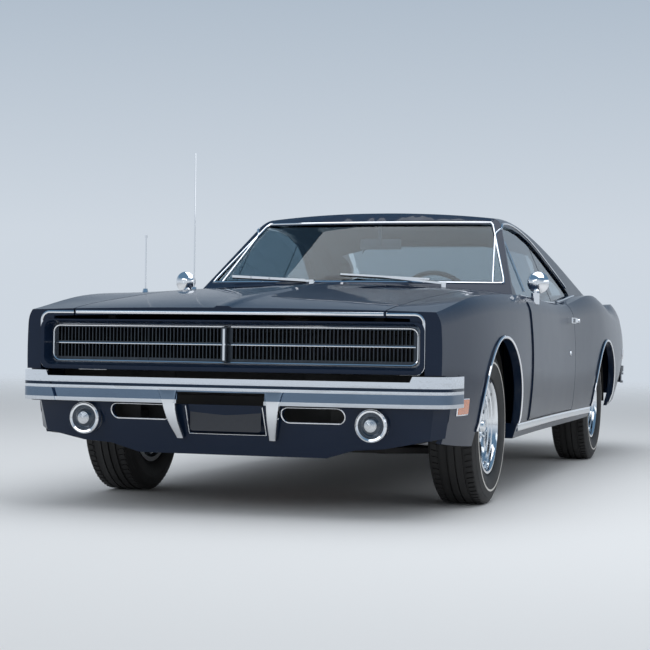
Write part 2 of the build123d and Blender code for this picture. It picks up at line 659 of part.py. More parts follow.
with BuildPart() as front_marker:
    add(PROUD)
    add(block((800, 1200), (FRONT_AXLE - 670, FRONT_AXLE - 550), (410, 468)), mode=Mode.INTERSECT)
    add(OUTER, mode=Mode.SUBTRACT)
with BuildPart() as front_lamps:
    with BuildSketch(Plane(origin=(LAMP_X, LAMP_FACE, LAMP_Z), x_dir=(1, 0, 0), z_dir=(0, 0, 1))):
        with BuildLine():
            ThreePointArc((0, -26), (26, -20), (LAMP_RADIUS - 18, -6))
            Polyline((LAMP_RADIUS - 18, -6), (LAMP_RADIUS - 10, -6), (LAMP_RADIUS - 6, -14),
                     (LAMP_RADIUS + 4, -14), (LAMP_RADIUS + 4, -2), (LAMP_RADIUS, -2), (LAMP_RADIUS, 70),
                     (0, 70), (0, -26))
        make_face()
    revolve(axis=Axis((LAMP_X, LAMP_FACE, LAMP_Z), (0, 1, 0)))
    add(front_marker.part)
    mirror(about=Plane.YZ)
write(front_lamps, "front_lamps")

# The grille lies deep in a surround whose walls slope in all round
GRILLE_FRAME = 16
GRILLE_SLOPE = 18
GRILLE_DEPTH = 50
GRILLE_CORNER = 36
GRILLE_PITCH = 16
GRILLE_BLADE = 4
GRILLE_SHEET = 24
GRILLE_COUNT = 46
GRILLE_SLOT = 56
MOUTH_HALF = GRILLE_HALF - GRILLE_FRAME
MOUTH_LOW = GRILLE_LOW + GRILLE_FRAME
MOUTH_HIGH = GRILLE_HIGH - 6
SCREEN_HALF = MOUTH_HALF - GRILLE_SLOPE
SCREEN_LOW = MOUTH_LOW + GRILLE_SLOPE
SCREEN_HIGH = MOUTH_HIGH - GRILLE_SLOPE
SCREEN_CORNER = GRILLE_CORNER - GRILLE_SLOPE / 2 - 2
with BuildPart() as grille_surround:
    add(nose_frame(GRILLE_HALF, GRILLE_LOW, GRILLE_HIGH, GRILLE_CORNER, -6, GRILLE_DEPTH + 20))
    add(nose_frame(MOUTH_HALF, MOUTH_LOW, MOUTH_HIGH, GRILLE_CORNER - 2, -8, GRILLE_DEPTH, GRILLE_SLOPE),
        mode=Mode.SUBTRACT)
    add(nose_frame(SCREEN_HALF, SCREEN_LOW, SCREEN_HIGH, SCREEN_CORNER, GRILLE_DEPTH - 5, GRILLE_DEPTH + 40),
        mode=Mode.SUBTRACT)
    mirror(about=Plane.YZ)
write(grille_surround, "grille_surround")

# Two rows of upright slots leave fine blades, with a bar across their middle and a divider on the centre line
SLOT_ROW_Z = SCREEN_LOW + 16 + GRILLE_SLOT / 2
SLOT_ROW_RISE = GRILLE_SLOT + 9
with BuildPart() as grille:
    with BuildSketch(NOSE_PLANE.offset(-GRILLE_DEPTH)):
        with Locations((0, (SCREEN_LOW + SCREEN_HIGH) / 2)):
            RectangleRounded(2 * (SCREEN_HALF - SEAT), SCREEN_HIGH - SCREEN_LOW - 2 * SEAT, SCREEN_CORNER)
        for row in (0, 1):
            with Locations((26 + GRILLE_PITCH * GRILLE_COUNT / 2, SLOT_ROW_Z + row * SLOT_ROW_RISE)):
                with GridLocations(GRILLE_PITCH, 1, GRILLE_COUNT, 1):
                    Rectangle(GRILLE_PITCH - GRILLE_BLADE, GRILLE_SLOT, mode=Mode.SUBTRACT)
    extrude(amount=-GRILLE_SHEET)
    split(bisect_by=Plane.YZ, keep=Keep.TOP)
    add(block((0, 9), (NOSE_TIP + 22, NOSE_TIP + GRILLE_DEPTH + 10), (SCREEN_LOW + 2, SCREEN_HIGH - 2)))
    mirror(about=Plane.YZ)
write(grille, "grille")

# The guards are curved blades that grow out of the bar, narrow downward and sweep back under it
Guard = namedtuple("Guard", "z x back width depth")
GUARD = [Guard(FRONT_BAR_FACE + 4, 224, 3, 84, 18), Guard(FRONT_BAR_LOW + 18, 220, 4, 62, 24),
         Guard(400, 214, 14, 48, 30), Guard(345, 205, 42, 38, 32), Guard(298, 196, 76, 28, 30)]
with BuildPart() as guard:
    for row in GUARD:
        with BuildSketch(Plane.XY.offset(row.z)):
            with Locations((row.x, -HALF_LENGTH + row.back + row.depth / 2)):
                RectangleRounded(row.width, row.depth, 8)
    loft()
with BuildPart() as bar_end:
    add(bar_area(FRONT_BAR, 0, FRONT_BAR_LOW, FRONT_END_HIGH))
    add(bar_area(FRONT_BAR, BAR_SHEET, 400, 620), mode=Mode.SUBTRACT)
    add(front_prism([(FRONT_END_X - 46, FRONT_BAR_LOW), (FRONT_END_X - 14, FRONT_BAR_HIGH - 10),
                     (FRONT_END_X, FRONT_END_HIGH), (1200, FRONT_END_HIGH), (1200, FRONT_BAR_LOW)],
                     -3000, -2000),
        mode=Mode.INTERSECT)
with BuildPart() as front_bumper:
    add(bumper_bar(FRONT_BAR, FRONT_BAR_LOW, FRONT_BAR_FACE, FRONT_BAR_HIGH))
    add(block((0, PLATE_HALF + 26), (-HALF_LENGTH - 10, -HALF_LENGTH + 60),
              (FRONT_BAR_LOW - 10, FRONT_BAR_FACE - 6)),
        mode=Mode.SUBTRACT)
    add(bar_end.part)
    add(block((0, 1200), (-HALF_LENGTH + BAR_WRAP, 0), (0, 1200)), mode=Mode.SUBTRACT)
    add(guard.part)
    add(block((FRONT_ROOM_X - 70, FRONT_ROOM_X - 30), (-HALF_LENGTH + 25, FRONT_AXLE - 784 - SEAT),
              (460, 510)))
    mirror(about=Plane.YZ)
write(front_bumper, "front_bumper")

with BuildPart() as rear_bumper:
    add(bumper_bar(REAR_BAR, REAR_BAR_LOW, REAR_BAR_FACE, REAR_BAR_HIGH))
    add(block((0, 1200), (0, HALF_LENGTH - BAR_WRAP), (0, 1200)), mode=Mode.SUBTRACT)
    add(block((420, 460), (TAIL_Y - 14 * 420 / (NOSE_HALF - 60) + SEAT, HALF_LENGTH - 14), (460, 510)))
    mirror(about=Plane.YZ)
write(rear_bumper, "rear_bumper")

# Floor, engine bay and mechanical parts


def wheel_room(axle, inner_x, outer_x, foot):
    # the housing over a wheel: a half drum with its inner wall
    with BuildPart() as room:
        with BuildSketch(Plane.YZ.offset(inner_x)):
            with Locations((axle, AXLE_HEIGHT)):
                Circle(WHEEL_ROOM + 12)
        extrude(amount=outer_x - inner_x)
        with BuildSketch(Plane.YZ.offset(inner_x + 12)):
            with Locations((axle, AXLE_HEIGHT)):
                Circle(WHEEL_ROOM)
        extrude(amount=outer_x - inner_x, mode=Mode.SUBTRACT)
        add(block((0, 1200), (axle - 600, axle + 600), (-200, foot)), mode=Mode.SUBTRACT)
    return room.part


# The floor has a tunnel down its middle and a flat pad under each side for a jack
TUNNEL_HALF = 150
TUNNEL_FRONT = 150
TUNNEL_REAR = 110
JACK_X = 620
JACK_Y = -350
JACK_Z = 252
with BuildPart() as hood_bracket:
    add(block((560, 590), (HOOD_REAR - 100, DOOR_FRONT + 70), (820, 1000)))
    add(UNDER_SKIN, mode=Mode.INTERSECT)
with BuildPart() as floor_pan:
    add(block((0, FLOOR_HALF - SEAT), (DOOR_FRONT + 60, DOOR_REAR + 560), (FLOOR_Z - FLOOR_SHEET, FLOOR_Z)))
    add(block((0, FLOOR_HALF - 8), (DOOR_FRONT + 60, DOOR_FRONT + 78), (FLOOR_Z, 900)))
    add(block((0, 605), (DOOR_REAR + 542, DOOR_REAR + 560), (FLOOR_Z, TRUNK_Z)))
    add(block((0, 605), (DOOR_REAR + 542, TAIL_SKIN - 3), (TRUNK_Z, TRUNK_Z + FLOOR_SHEET)))
    add(wheel_room(REAR_AXLE, REAR_ROOM_X, 888, SILL_TOP + 5))
    add(block((REAR_ROOM_X - 10, REAR_ROOM_X + 20), (REAR_AXLE - 60, REAR_AXLE + 60), (0, TRUNK_Z - 30)),
        mode=Mode.SUBTRACT)
    add(side_prism([(DOOR_FRONT + 40, 200), (DOOR_FRONT + 40, FLOOR_Z + TUNNEL_FRONT),
                    (DOOR_REAR + 580, FLOOR_Z + TUNNEL_REAR), (DOOR_REAR + 580, 200)], 0, TUNNEL_HALF))
    add(side_prism([(DOOR_FRONT + 20, 180), (DOOR_FRONT + 20, FLOOR_Z + TUNNEL_FRONT - FLOOR_SHEET),
                    (DOOR_REAR + 600, FLOOR_Z + TUNNEL_REAR - FLOOR_SHEET), (DOOR_REAR + 600, 180)],
                   -10, TUNNEL_HALF - FLOOR_SHEET), mode=Mode.SUBTRACT)
    add(block((0, 200), (DOOR_FRONT, DOOR_REAR + 700), (0, FLOOR_Z - FLOOR_SHEET)), mode=Mode.SUBTRACT)
    add(hood_bracket.part)
    add(block((JACK_X - 60, JACK_X + 60), (JACK_Y - 35, JACK_Y + 35), (JACK_Z, FLOOR_Z - 5)))
    mirror(about=Plane.YZ)
write(floor_pan, "floor_pan")

with BuildPart() as hood_stop:
    add(block((560, 600), (FRONT_AXLE - 700, FRONT_AXLE - 670), (700, 1000)))
    add(UNDER_SKIN, mode=Mode.INTERSECT)
with BuildPart() as engine_bay:
    add(wheel_room(FRONT_AXLE, FRONT_ROOM_X, 868, SILL_TOP + 5))
    add(block((FRONT_ROOM_X - 80, FRONT_ROOM_X), (FRONT_AXLE - 780, DOOR_FRONT + 60 - SEAT), (300, 400)))
    add(block((FRONT_ROOM_X - 80, FRONT_ROOM_X), (FRONT_AXLE - 784, FRONT_AXLE - 768), (300, 520)))
    add(block((0, 640), (FRONT_AXLE - 700, FRONT_AXLE - 670), (300, 740)))
    add(block((0, 325), (FRONT_AXLE - 690, FRONT_AXLE - 640), (365, 675)))
    add(hood_stop.part)
    mirror(about=Plane.YZ)
write(engine_bay, "engine_bay")

with BuildPart() as engine:
    add(block((-290, 290), (FRONT_AXLE - 260, FRONT_AXLE + 400), (300, 700)))
    add(block((-170, 170), (FRONT_AXLE - 160, FRONT_AXLE + 360), (700, 770)))
    with BuildSketch(Plane.XY.offset(770)):
        with Locations((0, FRONT_AXLE + 100)):
            Circle(180)
    extrude(amount=55)
write(engine, "engine")

with BuildPart() as transmission:
    with BuildSketch(Plane.XZ.offset(-FRONT_AXLE - 400 - SEAT)):
        with Locations((0, 330)):
            Circle(160)
    extrude(amount=-190, taper=14)
    with BuildSketch(Plane.XZ.offset(-FRONT_AXLE - 590)):
        with Locations((0, 318)):
            Circle(85)
    extrude(amount=-560, taper=2)
    with BuildSketch(Plane.XZ.offset(-FRONT_AXLE - 1100)):
        with Locations((0, 326)):
            Circle(38)
    extrude(amount=-(REAR_AXLE - 170 - SEAT - FRONT_AXLE - 1100))
write(transmission, "transmission")

KINGPIN_X = 706
KINGPIN_RADIUS = 18
ARM_LOW = 212
ARM_HIGH = 470
ARM_SHEET = 26
BRAKE_X = KINGPIN_X + 24
BRAKE_WIDTH = 62
BRAKE_RADIUS = 140
STUB_RADIUS = 34
HUB_FACE = WHEEL_X + 38


def brake(axle):
    # a drum with the stub that carries the wheel's hub
    with BuildPart() as drum:
        for inner, outer, radius in [(BRAKE_X, BRAKE_X + BRAKE_WIDTH, BRAKE_RADIUS),
                                     (BRAKE_X + BRAKE_WIDTH, HUB_FACE - SEAT, STUB_RADIUS)]:
            with BuildSketch(Plane.YZ.offset(inner)):
                with Locations((axle, AXLE_HEIGHT)):
                    Circle(radius)
            extrude(amount=outer - inner)
    return drum.part


with BuildPart() as front_suspension:
    add(block((0, 470), (FRONT_AXLE - 45, FRONT_AXLE + 45), (205, 285)))
    add(block((180, 260), (FRONT_AXLE - 35, FRONT_AXLE + 35), (280, 300 - SEAT)))
    add(block((410, 470), (FRONT_AXLE - 35, FRONT_AXLE + 35), (280, 300 - SEAT)))
    for z, inner in [(ARM_LOW, 420), (ARM_HIGH, FRONT_ROOM_X + 12 + SEAT)]:
        with BuildSketch(Plane.XY.offset(z)):
            with BuildLine():
                Polyline((inner, FRONT_AXLE - 150), (inner + 40, FRONT_AXLE - 160),
                         (KINGPIN_X - 6, FRONT_AXLE - 21), (KINGPIN_X - 6, FRONT_AXLE + 21),
                         (inner + 40, FRONT_AXLE + 160), (inner, FRONT_AXLE + 150), close=True)
            make_face()
            with Locations((KINGPIN_X, FRONT_AXLE)):
                Circle(KINGPIN_RADIUS)
        extrude(amount=ARM_SHEET)
    mirror(about=Plane.YZ)
write(front_suspension, "front_suspension")

with BuildPart() as knuckle_left:
    with BuildSketch(Plane.XY.offset(ARM_LOW + ARM_SHEET + SEAT)):
        with Locations((KINGPIN_X, FRONT_AXLE)):
            Circle(KINGPIN_RADIUS)
    extrude(amount=ARM_HIGH - ARM_LOW - ARM_SHEET - 2 * SEAT)
    add(block((KINGPIN_X - 14, BRAKE_X), (FRONT_AXLE - 30, FRONT_AXLE + 30),
              (AXLE_HEIGHT - 60, AXLE_HEIGHT + 60)))
    add(brake(FRONT_AXLE))
write_pair(knuckle_left, "knuckle")

with BuildPart() as rear_axle:
    with BuildSketch(Plane.YZ):
        with Locations((REAR_AXLE, AXLE_HEIGHT)):
            Circle(40)
    extrude(amount=BRAKE_X)
    with BuildSketch(Plane.XZ.offset(-REAR_AXLE + 170)):
        with Locations((0, AXLE_HEIGHT)):
            Circle(60)
    extrude(amount=-70)
    with BuildSketch(Plane.XZ.offset(-REAR_AXLE + 110)):
        with Locations((0, AXLE_HEIGHT)):
            Circle(125)
    extrude(amount=-220)
    add(brake(REAR_AXLE))
    with BuildSketch(Plane.YZ.offset(520)):
        with BuildLine():
            ThreePointArc((REAR_AXLE - 425, 330), (REAR_AXLE, 262), (REAR_AXLE + 760, 360))
            ThreePointArc((REAR_AXLE + 760, 385), (REAR_AXLE, 292), (REAR_AXLE - 425, 355))
            Line((REAR_AXLE - 425, 330), (REAR_AXLE - 425, 355))
            Line((REAR_AXLE + 760, 360), (REAR_AXLE + 760, 385))
        make_face()
    extrude(amount=60)
    add(block((525, 575), (REAR_AXLE - 50, REAR_AXLE + 50), (280, 320)))
    add(block((530, 570), (REAR_AXLE - 425, REAR_AXLE - 385), (340, TRUNK_Z - SEAT)))
    add(block((530, 570), (REAR_AXLE + 720, REAR_AXLE + 760), (370, TRUNK_Z - SEAT)))
    mirror(about=Plane.YZ)
write(rear_axle, "rear_axle")

with BuildPart() as fuel_tank:
    with BuildSketch(Plane.XY.offset(290)):
        with Locations((0, REAR_AXLE + 780)):
            RectangleRounded(820, 560, 60)
    extrude(amount=TRUNK_Z - 290 - SEAT)
write(fuel_tank, "fuel_tank")

PIPE_X = 300
PIPE_Z = 206
PIPE_RADIUS = 28
with BuildPart() as exhaust:
    for y, radius, length in [(FRONT_AXLE + 420, PIPE_RADIUS, 1290), (FRONT_AXLE + 1700, 55, 480),
                              (FRONT_AXLE + 2170, PIPE_RADIUS, 210)]:
        with BuildSketch(Plane.XZ.offset(-y)):
            with Locations((PIPE_X, PIPE_Z)):
                Circle(radius)
        extrude(amount=-length)
    add(block((PIPE_X - 10, PIPE_X + 10), (FRONT_AXLE + 1900, FRONT_AXLE + 1920),
              (240, FLOOR_Z - FLOOR_SHEET - SEAT)))
    mirror(about=Plane.YZ)
write(exhaust, "exhaust")

# Cabin
SEAT_X = 370
COLUMN_LEAN = 0.42
COLUMN_LENGTH = 160
HAND_WHEEL_RADIUS = 188
HAND_WHEEL_GRIP = 12
COLUMN = Plane(origin=(SEAT_X, HOOD_REAR + 250, 790), z_dir=(0, cos(COLUMN_LEAN), sin(COLUMN_LEAN)))
RIM_PLANE = COLUMN.offset(COLUMN_LENGTH + 18)
with BuildPart() as dashboard:
    add(side_prism([(DOOR_FRONT + 78 + SEAT, 640), (DOOR_FRONT + 78 + SEAT, 898), (HOOD_REAR + 250, 905),
                    (HOOD_REAR + 330, 850), (HOOD_REAR + 320, 760), (HOOD_REAR + 280, 640)], -685, 685))
    with BuildSketch(COLUMN):
        Circle(24)
    extrude(amount=COLUMN_LENGTH - SEAT)
write(dashboard, "dashboard")

with BuildPart() as steering_wheel:
    with BuildSketch(COLUMN.offset(COLUMN_LENGTH)):
        Circle(34)
    extrude(amount=44)
    with BuildSketch(COLUMN.offset(COLUMN_LENGTH + 12)):
        with PolarLocations(0, 3, 90):
            with Locations((HAND_WHEEL_RADIUS / 2 - 2, 0)):
                Rectangle(HAND_WHEEL_RADIUS - 2, 24)
    extrude(amount=12)
    with BuildSketch(Plane(origin=RIM_PLANE.origin, x_dir=RIM_PLANE.x_dir, z_dir=-RIM_PLANE.y_dir)):
        with Locations((HAND_WHEEL_RADIUS, 0)):
            Circle(HAND_WHEEL_GRIP)
    revolve(axis=Axis(RIM_PLANE.origin, RIM_PLANE.z_dir))
write(steering_wheel, "steering_wheel")

with BuildPart() as front_seats:
    add(side_prism([(HOOD_REAR + 560, 330), (HOOD_REAR + 520, 460), (HOOD_REAR + 960, 430),
                    (HOOD_REAR + 1120, 900), (HOOD_REAR + 1230, 880), (HOOD_REAR + 1060, 330)],
                   SEAT_X - 212, SEAT_X + 212, 30))
    add(block((SEAT_X - 200, SEAT_X + 200), (HOOD_REAR + 600, HOOD_REAR + 1020), (FLOOR_Z + SEAT, 345)))
    mirror(about=Plane.YZ)
write(front_seats, "front_seats")

with BuildPart() as rear_seat:
    add(side_prism([(DOOR_REAR + 130, FLOOR_Z + SEAT), (DOOR_REAR + 100, 440), (DOOR_REAR + 480, 420),
                    (DOOR_REAR + 560, 800), (DOOR_REAR + 660, 800),
                    (DOOR_REAR + 620, TRUNK_Z + FLOOR_SHEET + SEAT),
                    (DOOR_REAR + 535, TRUNK_Z + FLOOR_SHEET + SEAT),
                    (DOOR_REAR + 535, FLOOR_Z + SEAT)], 0, 590))
    add(block((0, 156), (DOOR_REAR, DOOR_REAR + 700), (0, FLOOR_Z + 130)), mode=Mode.SUBTRACT)
    mirror(about=Plane.YZ)
write(rear_seat, "rear_seat")

with BuildPart() as parcel_shelf:
    add(block((-590, 590), (DOOR_REAR + 560, BACKLIGHT_BASE - 62), (800 + SEAT, 816)))
write(parcel_shelf, "parcel_shelf")

with BuildPart() as interior_mirror:
    add(block((0, 110), (-330, -318), (1170, 1225)))
    add(block((0, 10), (-345, -330), (1190, 1400)))
    add(CABIN_INNER.moved(Location((0, 0, -SEAT))), mode=Mode.INTERSECT)
    mirror(about=Plane.YZ)
write(interior_mirror, "interior_mirror")

# Outside fittings
MIRROR_X = 917
MIRROR_Z = 985
MIRROR_Y = DOOR_FRONT + 286
MIRROR_RADIUS = 53
MIRROR_DEPTH = 30
HANDLE_Z = 811
with BuildPart() as door_chrome_left:
    add(block((900, 964), (DOOR_REAR - 190, DOOR_REAR - 86), (HANDLE_Z - 8, HANDLE_Z + 14)))
    add(block((900, 948), (DOOR_REAR - 214, DOOR_REAR - 60), (HANDLE_Z - 12, HANDLE_Z + 18)))
    with BuildSketch(Plane.YZ.offset(900)):
        with Locations((DOOR_REAR - 72, HANDLE_Z + 2)):
            Circle(12)
    extrude(amount=68)
    with BuildSketch(Plane(origin=(MIRROR_X, MIRROR_Y, MIRROR_Z), x_dir=(1, 0, 0), z_dir=(0, 0, 1))):
        with BuildLine():
            ThreePointArc((0, -MIRROR_DEPTH), (MIRROR_RADIUS * 0.7, -MIRROR_DEPTH * 0.72),
                          (MIRROR_RADIUS, -4))
            Polyline((MIRROR_RADIUS, -4), (MIRROR_RADIUS, 0), (0, 0), (0, -MIRROR_DEPTH))
        make_face()
    revolve(axis=Axis((MIRROR_X, MIRROR_Y, MIRROR_Z), (0, 1, 0)))
    with BuildSketch(Plane.XY.offset(880)):
        with Locations((MIRROR_X - 12, MIRROR_Y - 13)):
            Circle(9)
    extrude(amount=70)
    with BuildSketch(Plane.XY.offset(880)):
        with Locations((MIRROR_X - 12, MIRROR_Y - 13)):
            Ellipse(20, 34)
    extrude(amount=54)
    add(OUTER.moved(Location((SEAT, 0, SEAT))), mode=Mode.SUBTRACT)
write_pair(door_chrome_left, "door_chrome")

# Two aerials on the right: a stub with a ball, and the radio's whip
Aerial = namedtuple("Aerial", "x y z top tip")
AERIALS = [
    Aerial(HALF_WIDTH - 130, FRONT_AXLE + 240, 895, 1183, 6),
    Aerial(HALF_WIDTH - 233, DOOR_FRONT - 40, 915, 1610, 3.5),
]
with BuildPart() as left_aerials:
    for aerial in AERIALS:
        with BuildSketch(Plane.XY.offset(aerial.z)):
            with Locations((aerial.x, aerial.y)):
                Circle(19)
        extrude(amount=34, taper=14)
        with BuildSketch(Plane.XY.offset(aerial.z)):
            with Locations((aerial.x, aerial.y)):
                Circle(3.5)
        extrude(amount=aerial.top - 4 - aerial.z)
        with BuildSketch(Plane.XY.offset(aerial.top - 2 * aerial.tip)):
            with Locations((aerial.x, aerial.y)):
                Circle(aerial.tip)
        extrude(amount=2 * aerial.tip)
    add(OUTER.moved(Location((0, 0, SEAT))), mode=Mode.SUBTRACT)
with BuildPart() as aerials:
    mirror(left_aerials.part, about=Plane.YZ)
write(aerials, "aerials")


def rod(start, end, width, height):
    with BuildPart() as bar:
        with BuildSketch(Plane(origin=start, z_dir=Vector(*end) - Vector(*start))):
            Rectangle(width, height)
        extrude(amount=(Vector(*end) - Vector(*start)).length)
    return bar.part


# Each wiper: the place of its pivot, and the two ends of its blade along the foot of the windshield
Wiper = namedtuple("Wiper", "pivot near far")
WIPERS = [Wiper((-175, HOOD_REAR + 52, 985), (-220, -905, 990), (-636, -826, 1012)),
          Wiper((490, HOOD_REAR + 60, 975), (400, -856, 998), (-50, -868, 1022))]
with BuildPart() as wipers:
    for wiper in WIPERS:
        x, y, z = wiper.pivot
        middle = tuple((a + b) / 2 for a, b in zip(wiper.near, wiper.far))
        with BuildSketch(Plane.XY.offset(z - 60)):
            with Locations((x, y)):
                Circle(14)
        extrude(amount=66)
        add(rod(wiper.pivot, middle, 10, 10))
        add(rod(wiper.near, wiper.far, 9, 12))
    for skin in (OUTER, OUTER.mirror(Plane.YZ)):
        add(skin.moved(Location((0, 0, SEAT))), mode=Mode.SUBTRACT)
write(wipers, "wipers")

# Wheels: a stepped, dished rim with five spokes and a small cap
RIM_HALF = 92
HUB_DEPTH = HUB_FACE - WHEEL_X
SPOKE_SHEET = 14
with BuildPart() as tyre:
    with BuildSketch(Plane.XZ):
        with BuildLine():
            for side in (-1, 1):
                Polyline((RIM_RADIUS + SEAT, 0), (RIM_RADIUS + SEAT, 82 * side), (207, 82 * side),
                         (212, 93 * side))
                ThreePointArc((212, 93 * side), (264, TYRE_WIDTH / 2 * side), (314, 96 * side))
                ThreePointArc((314, 96 * side), (327, 90 * side), (TYRE_RADIUS - 2, 78 * side))
                ThreePointArc((TYRE_RADIUS - 2, 78 * side), (TYRE_RADIUS - 0.5, 39 * side), (TYRE_RADIUS, 0))
        make_face()
    revolve(axis=Axis.Z)

with BuildPart() as rim:
    with BuildSketch(Plane.XZ):
        with BuildLine():
            Polyline((184, -RIM_HALF), (204, -RIM_HALF), (204, -86), (RIM_RADIUS, -84), (RIM_RADIUS, 84),
                     (204, 86), (204, RIM_HALF), (194, RIM_HALF), (188, 84), (185, 70), (178, 66), (176, 56),
                     (169, 52), (166, HUB_DEPTH - 2), (184, 22), close=True)
        make_face()
    revolve(axis=Axis.Z)
    with BuildSketch(Plane.XY.offset(HUB_DEPTH)):
        Circle(70)
        with PolarLocations(0, 5):
            Polygon((50, -26), (112, -18), (172, -32), (172, 32), (112, 18), (50, 26), align=None)
    extrude(amount=SPOKE_SHEET)
    with BuildSketch(Plane.XY.offset(HUB_DEPTH + SPOKE_SHEET)):
        with PolarLocations(52, 5):
            RegularPolygon(9, 6)
    extrude(amount=12)
    with BuildSketch(Plane.XY.offset(HUB_DEPTH + SPOKE_SHEET)):
        Circle(33)
    extrude(amount=22, taper=20)

for name, side, y in [("fl", 1, FRONT_AXLE), ("fr", -1, FRONT_AXLE), ("rl", 1, REAR_AXLE),
                      ("rr", -1, REAR_AXLE)]:
    hub = Plane(origin=(side * WHEEL_X, y, AXLE_HEIGHT), x_dir=(0, 0, 1), z_dir=(side, 0, 0))
    with BuildPart() as placed_tyre:
        with Locations(hub):
            add(tyre.part)
    write(placed_tyre, f"tyre_{name}")
    with BuildPart() as placed_rim:
        with Locations(hub):
            add(rim.part)
    write(placed_rim, f"rim_{name}")
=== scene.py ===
import bpy
import bmesh
from math import cos, exp, pi, radians, sin
from mathutils import Matrix, Vector
from mathutils.bvhtree import BVHTree


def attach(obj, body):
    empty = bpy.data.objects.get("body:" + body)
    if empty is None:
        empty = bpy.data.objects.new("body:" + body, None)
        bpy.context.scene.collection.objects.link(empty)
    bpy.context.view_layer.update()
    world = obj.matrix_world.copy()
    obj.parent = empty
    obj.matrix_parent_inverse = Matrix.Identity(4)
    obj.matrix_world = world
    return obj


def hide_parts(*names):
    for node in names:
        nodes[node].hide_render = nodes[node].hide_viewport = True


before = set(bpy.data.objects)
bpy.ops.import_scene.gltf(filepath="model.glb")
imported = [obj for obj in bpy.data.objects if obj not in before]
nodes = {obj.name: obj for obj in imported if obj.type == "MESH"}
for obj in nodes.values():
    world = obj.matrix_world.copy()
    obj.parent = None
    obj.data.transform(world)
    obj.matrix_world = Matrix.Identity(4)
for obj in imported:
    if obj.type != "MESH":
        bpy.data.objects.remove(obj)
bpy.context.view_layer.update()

# The shell is pressed steel, welded into one body, with bolted fenders, doors and lids.
# Every outer panel wears the same deep navy enamel under a clear lacquer.
# Its panels come from the frame, joined up and given a small rounded edge.
NAVY = (0.0055, 0.0125, 0.031)
NAVY_FLAKE = (0.010, 0.021, 0.046)
PANEL_EDGE = 0.0012
SHARP = 35
WELD_GAP = 0.00002


class Wire:
    """An output of a material's node, so that shader maths reads as plain expressions."""

    def __init__(self, tree, socket):
        self.tree = tree
        self.socket = socket

    def maths(self, operation, first, second=0.0):
        node = self.tree.nodes.new("ShaderNodeMath")
        node.operation = operation
        for place, value in enumerate((first, second)):
            if isinstance(value, Wire):
                self.tree.links.new(value.socket, node.inputs[place])
            else:
                node.inputs[place].default_value = value
        return Wire(self.tree, node.outputs[0])

    def __add__(self, other):
        return self.maths("ADD", self, other)

    def __sub__(self, other):
        return self.maths("SUBTRACT", self, other)

    def __rsub__(self, other):
        return self.maths("SUBTRACT", other, self)

    def __mul__(self, other):
        return self.maths("MULTIPLY", self, other)

    def __pow__(self, other):
        return self.maths("POWER", self, other)

    def __abs__(self):
        return self.maths("ABSOLUTE", self)

    def over(self, limit):
        return self.maths("GREATER_THAN", self, limit)

    def under(self, limit):
        return self.maths("LESS_THAN", self, limit)

    def wave(self):
        """A ripple between 0 and 1 along this value."""
        return self.maths("SINE", self) * 0.5 + 0.5


class Finish:
    """A material, built round one Principled shader."""

    def __init__(self, name, **constants):
        self.material = bpy.data.materials.new(name)
        self.material.use_nodes = True
        self.tree = self.material.node_tree
        self.shader = self.tree.nodes["Principled BSDF"]
        self.drive(**constants)

    def set(self, node, socket, value):
        slot = node.inputs[socket]
        if isinstance(value, Wire):
            self.tree.links.new(value.socket, slot)
        elif isinstance(value, tuple) and len(value) == 3 and len(slot.default_value) == 4:
            slot.default_value = (*value, 1.0)
        else:
            slot.default_value = value

    def add(self, kind, settings=None, output=0, **sockets):
        node = self.tree.nodes.new("ShaderNode" + kind)
        for name, value in (settings or {}).items():
            setattr(node, name, value)
        for name, value in sockets.items():
            place = int(name[1:]) if name[0] == "i" and name[1:].isdigit() else name.replace("_", " ")
            self.set(node, place, value)
        return Wire(self.tree, node.outputs[output])

    def drive(self, **sockets):
        for socket, value in sockets.items():
            self.set(self.shader, socket.replace("_", " "), value)

    def place(self):
        return self.add("TexCoord", output=3)

    def along(self, axis):
        return self.add("SeparateXYZ", output="XYZ".index(axis), Vector=self.place())

    def noise(self, scale, detail=2.0):
        return self.add("TexNoise", Vector=self.place(), Scale=scale, Detail=detail)

    def blend(self, factor, first, second):
        return self.add("Mix", {"data_type": "RGBA"}, 2, i0=factor, i6=first, i7=second)

    def bump(self, height, strength, distance):
        self.drive(Normal=self.add("Bump", Strength=strength, Distance=distance, Height=height))

    def wear(self, scale, detail, clean, worn, change, least):
        """Makes the colour and the roughness follow one noise."""
        tone = self.noise(scale, detail)
        self.drive(Base_Color=self.blend(tone, clean, worn), Roughness=tone * change + least)

    def haze(self, scale, change, least=0.0):
        """Makes the roughness vary a little over the surface."""
        self.drive(Roughness=self.noise(scale) * change + least)


def shade_smooth(data):
    data.polygons.foreach_set("use_smooth", [True] * len(data.polygons))


def dress(names, finish, edge=0.0):
    """Joins up the triangles of some CAD nodes, rounds their edges and gives them a finish."""
    for name in names:
        panel = nodes[name]
        panel.data.materials.clear()
        panel.data.materials.append(finish.material)
        weld = panel.modifiers.new("weld", "WELD")
        weld.merge_threshold = WELD_GAP
        if edge:
            bevel = panel.modifiers.new("edge", "BEVEL")
            bevel.width = edge
            bevel.segments = 2
            bevel.limit_method = "ANGLE"
            bevel.angle_limit = radians(SHARP)
        shade_smooth(panel.data)
        split = panel.modifiers.new("split", "EDGE_SPLIT")
        split.split_angle = radians(SHARP)
        shade = panel.modifiers.new("shade", "WEIGHTED_NORMAL")
        shade.keep_sharp = True


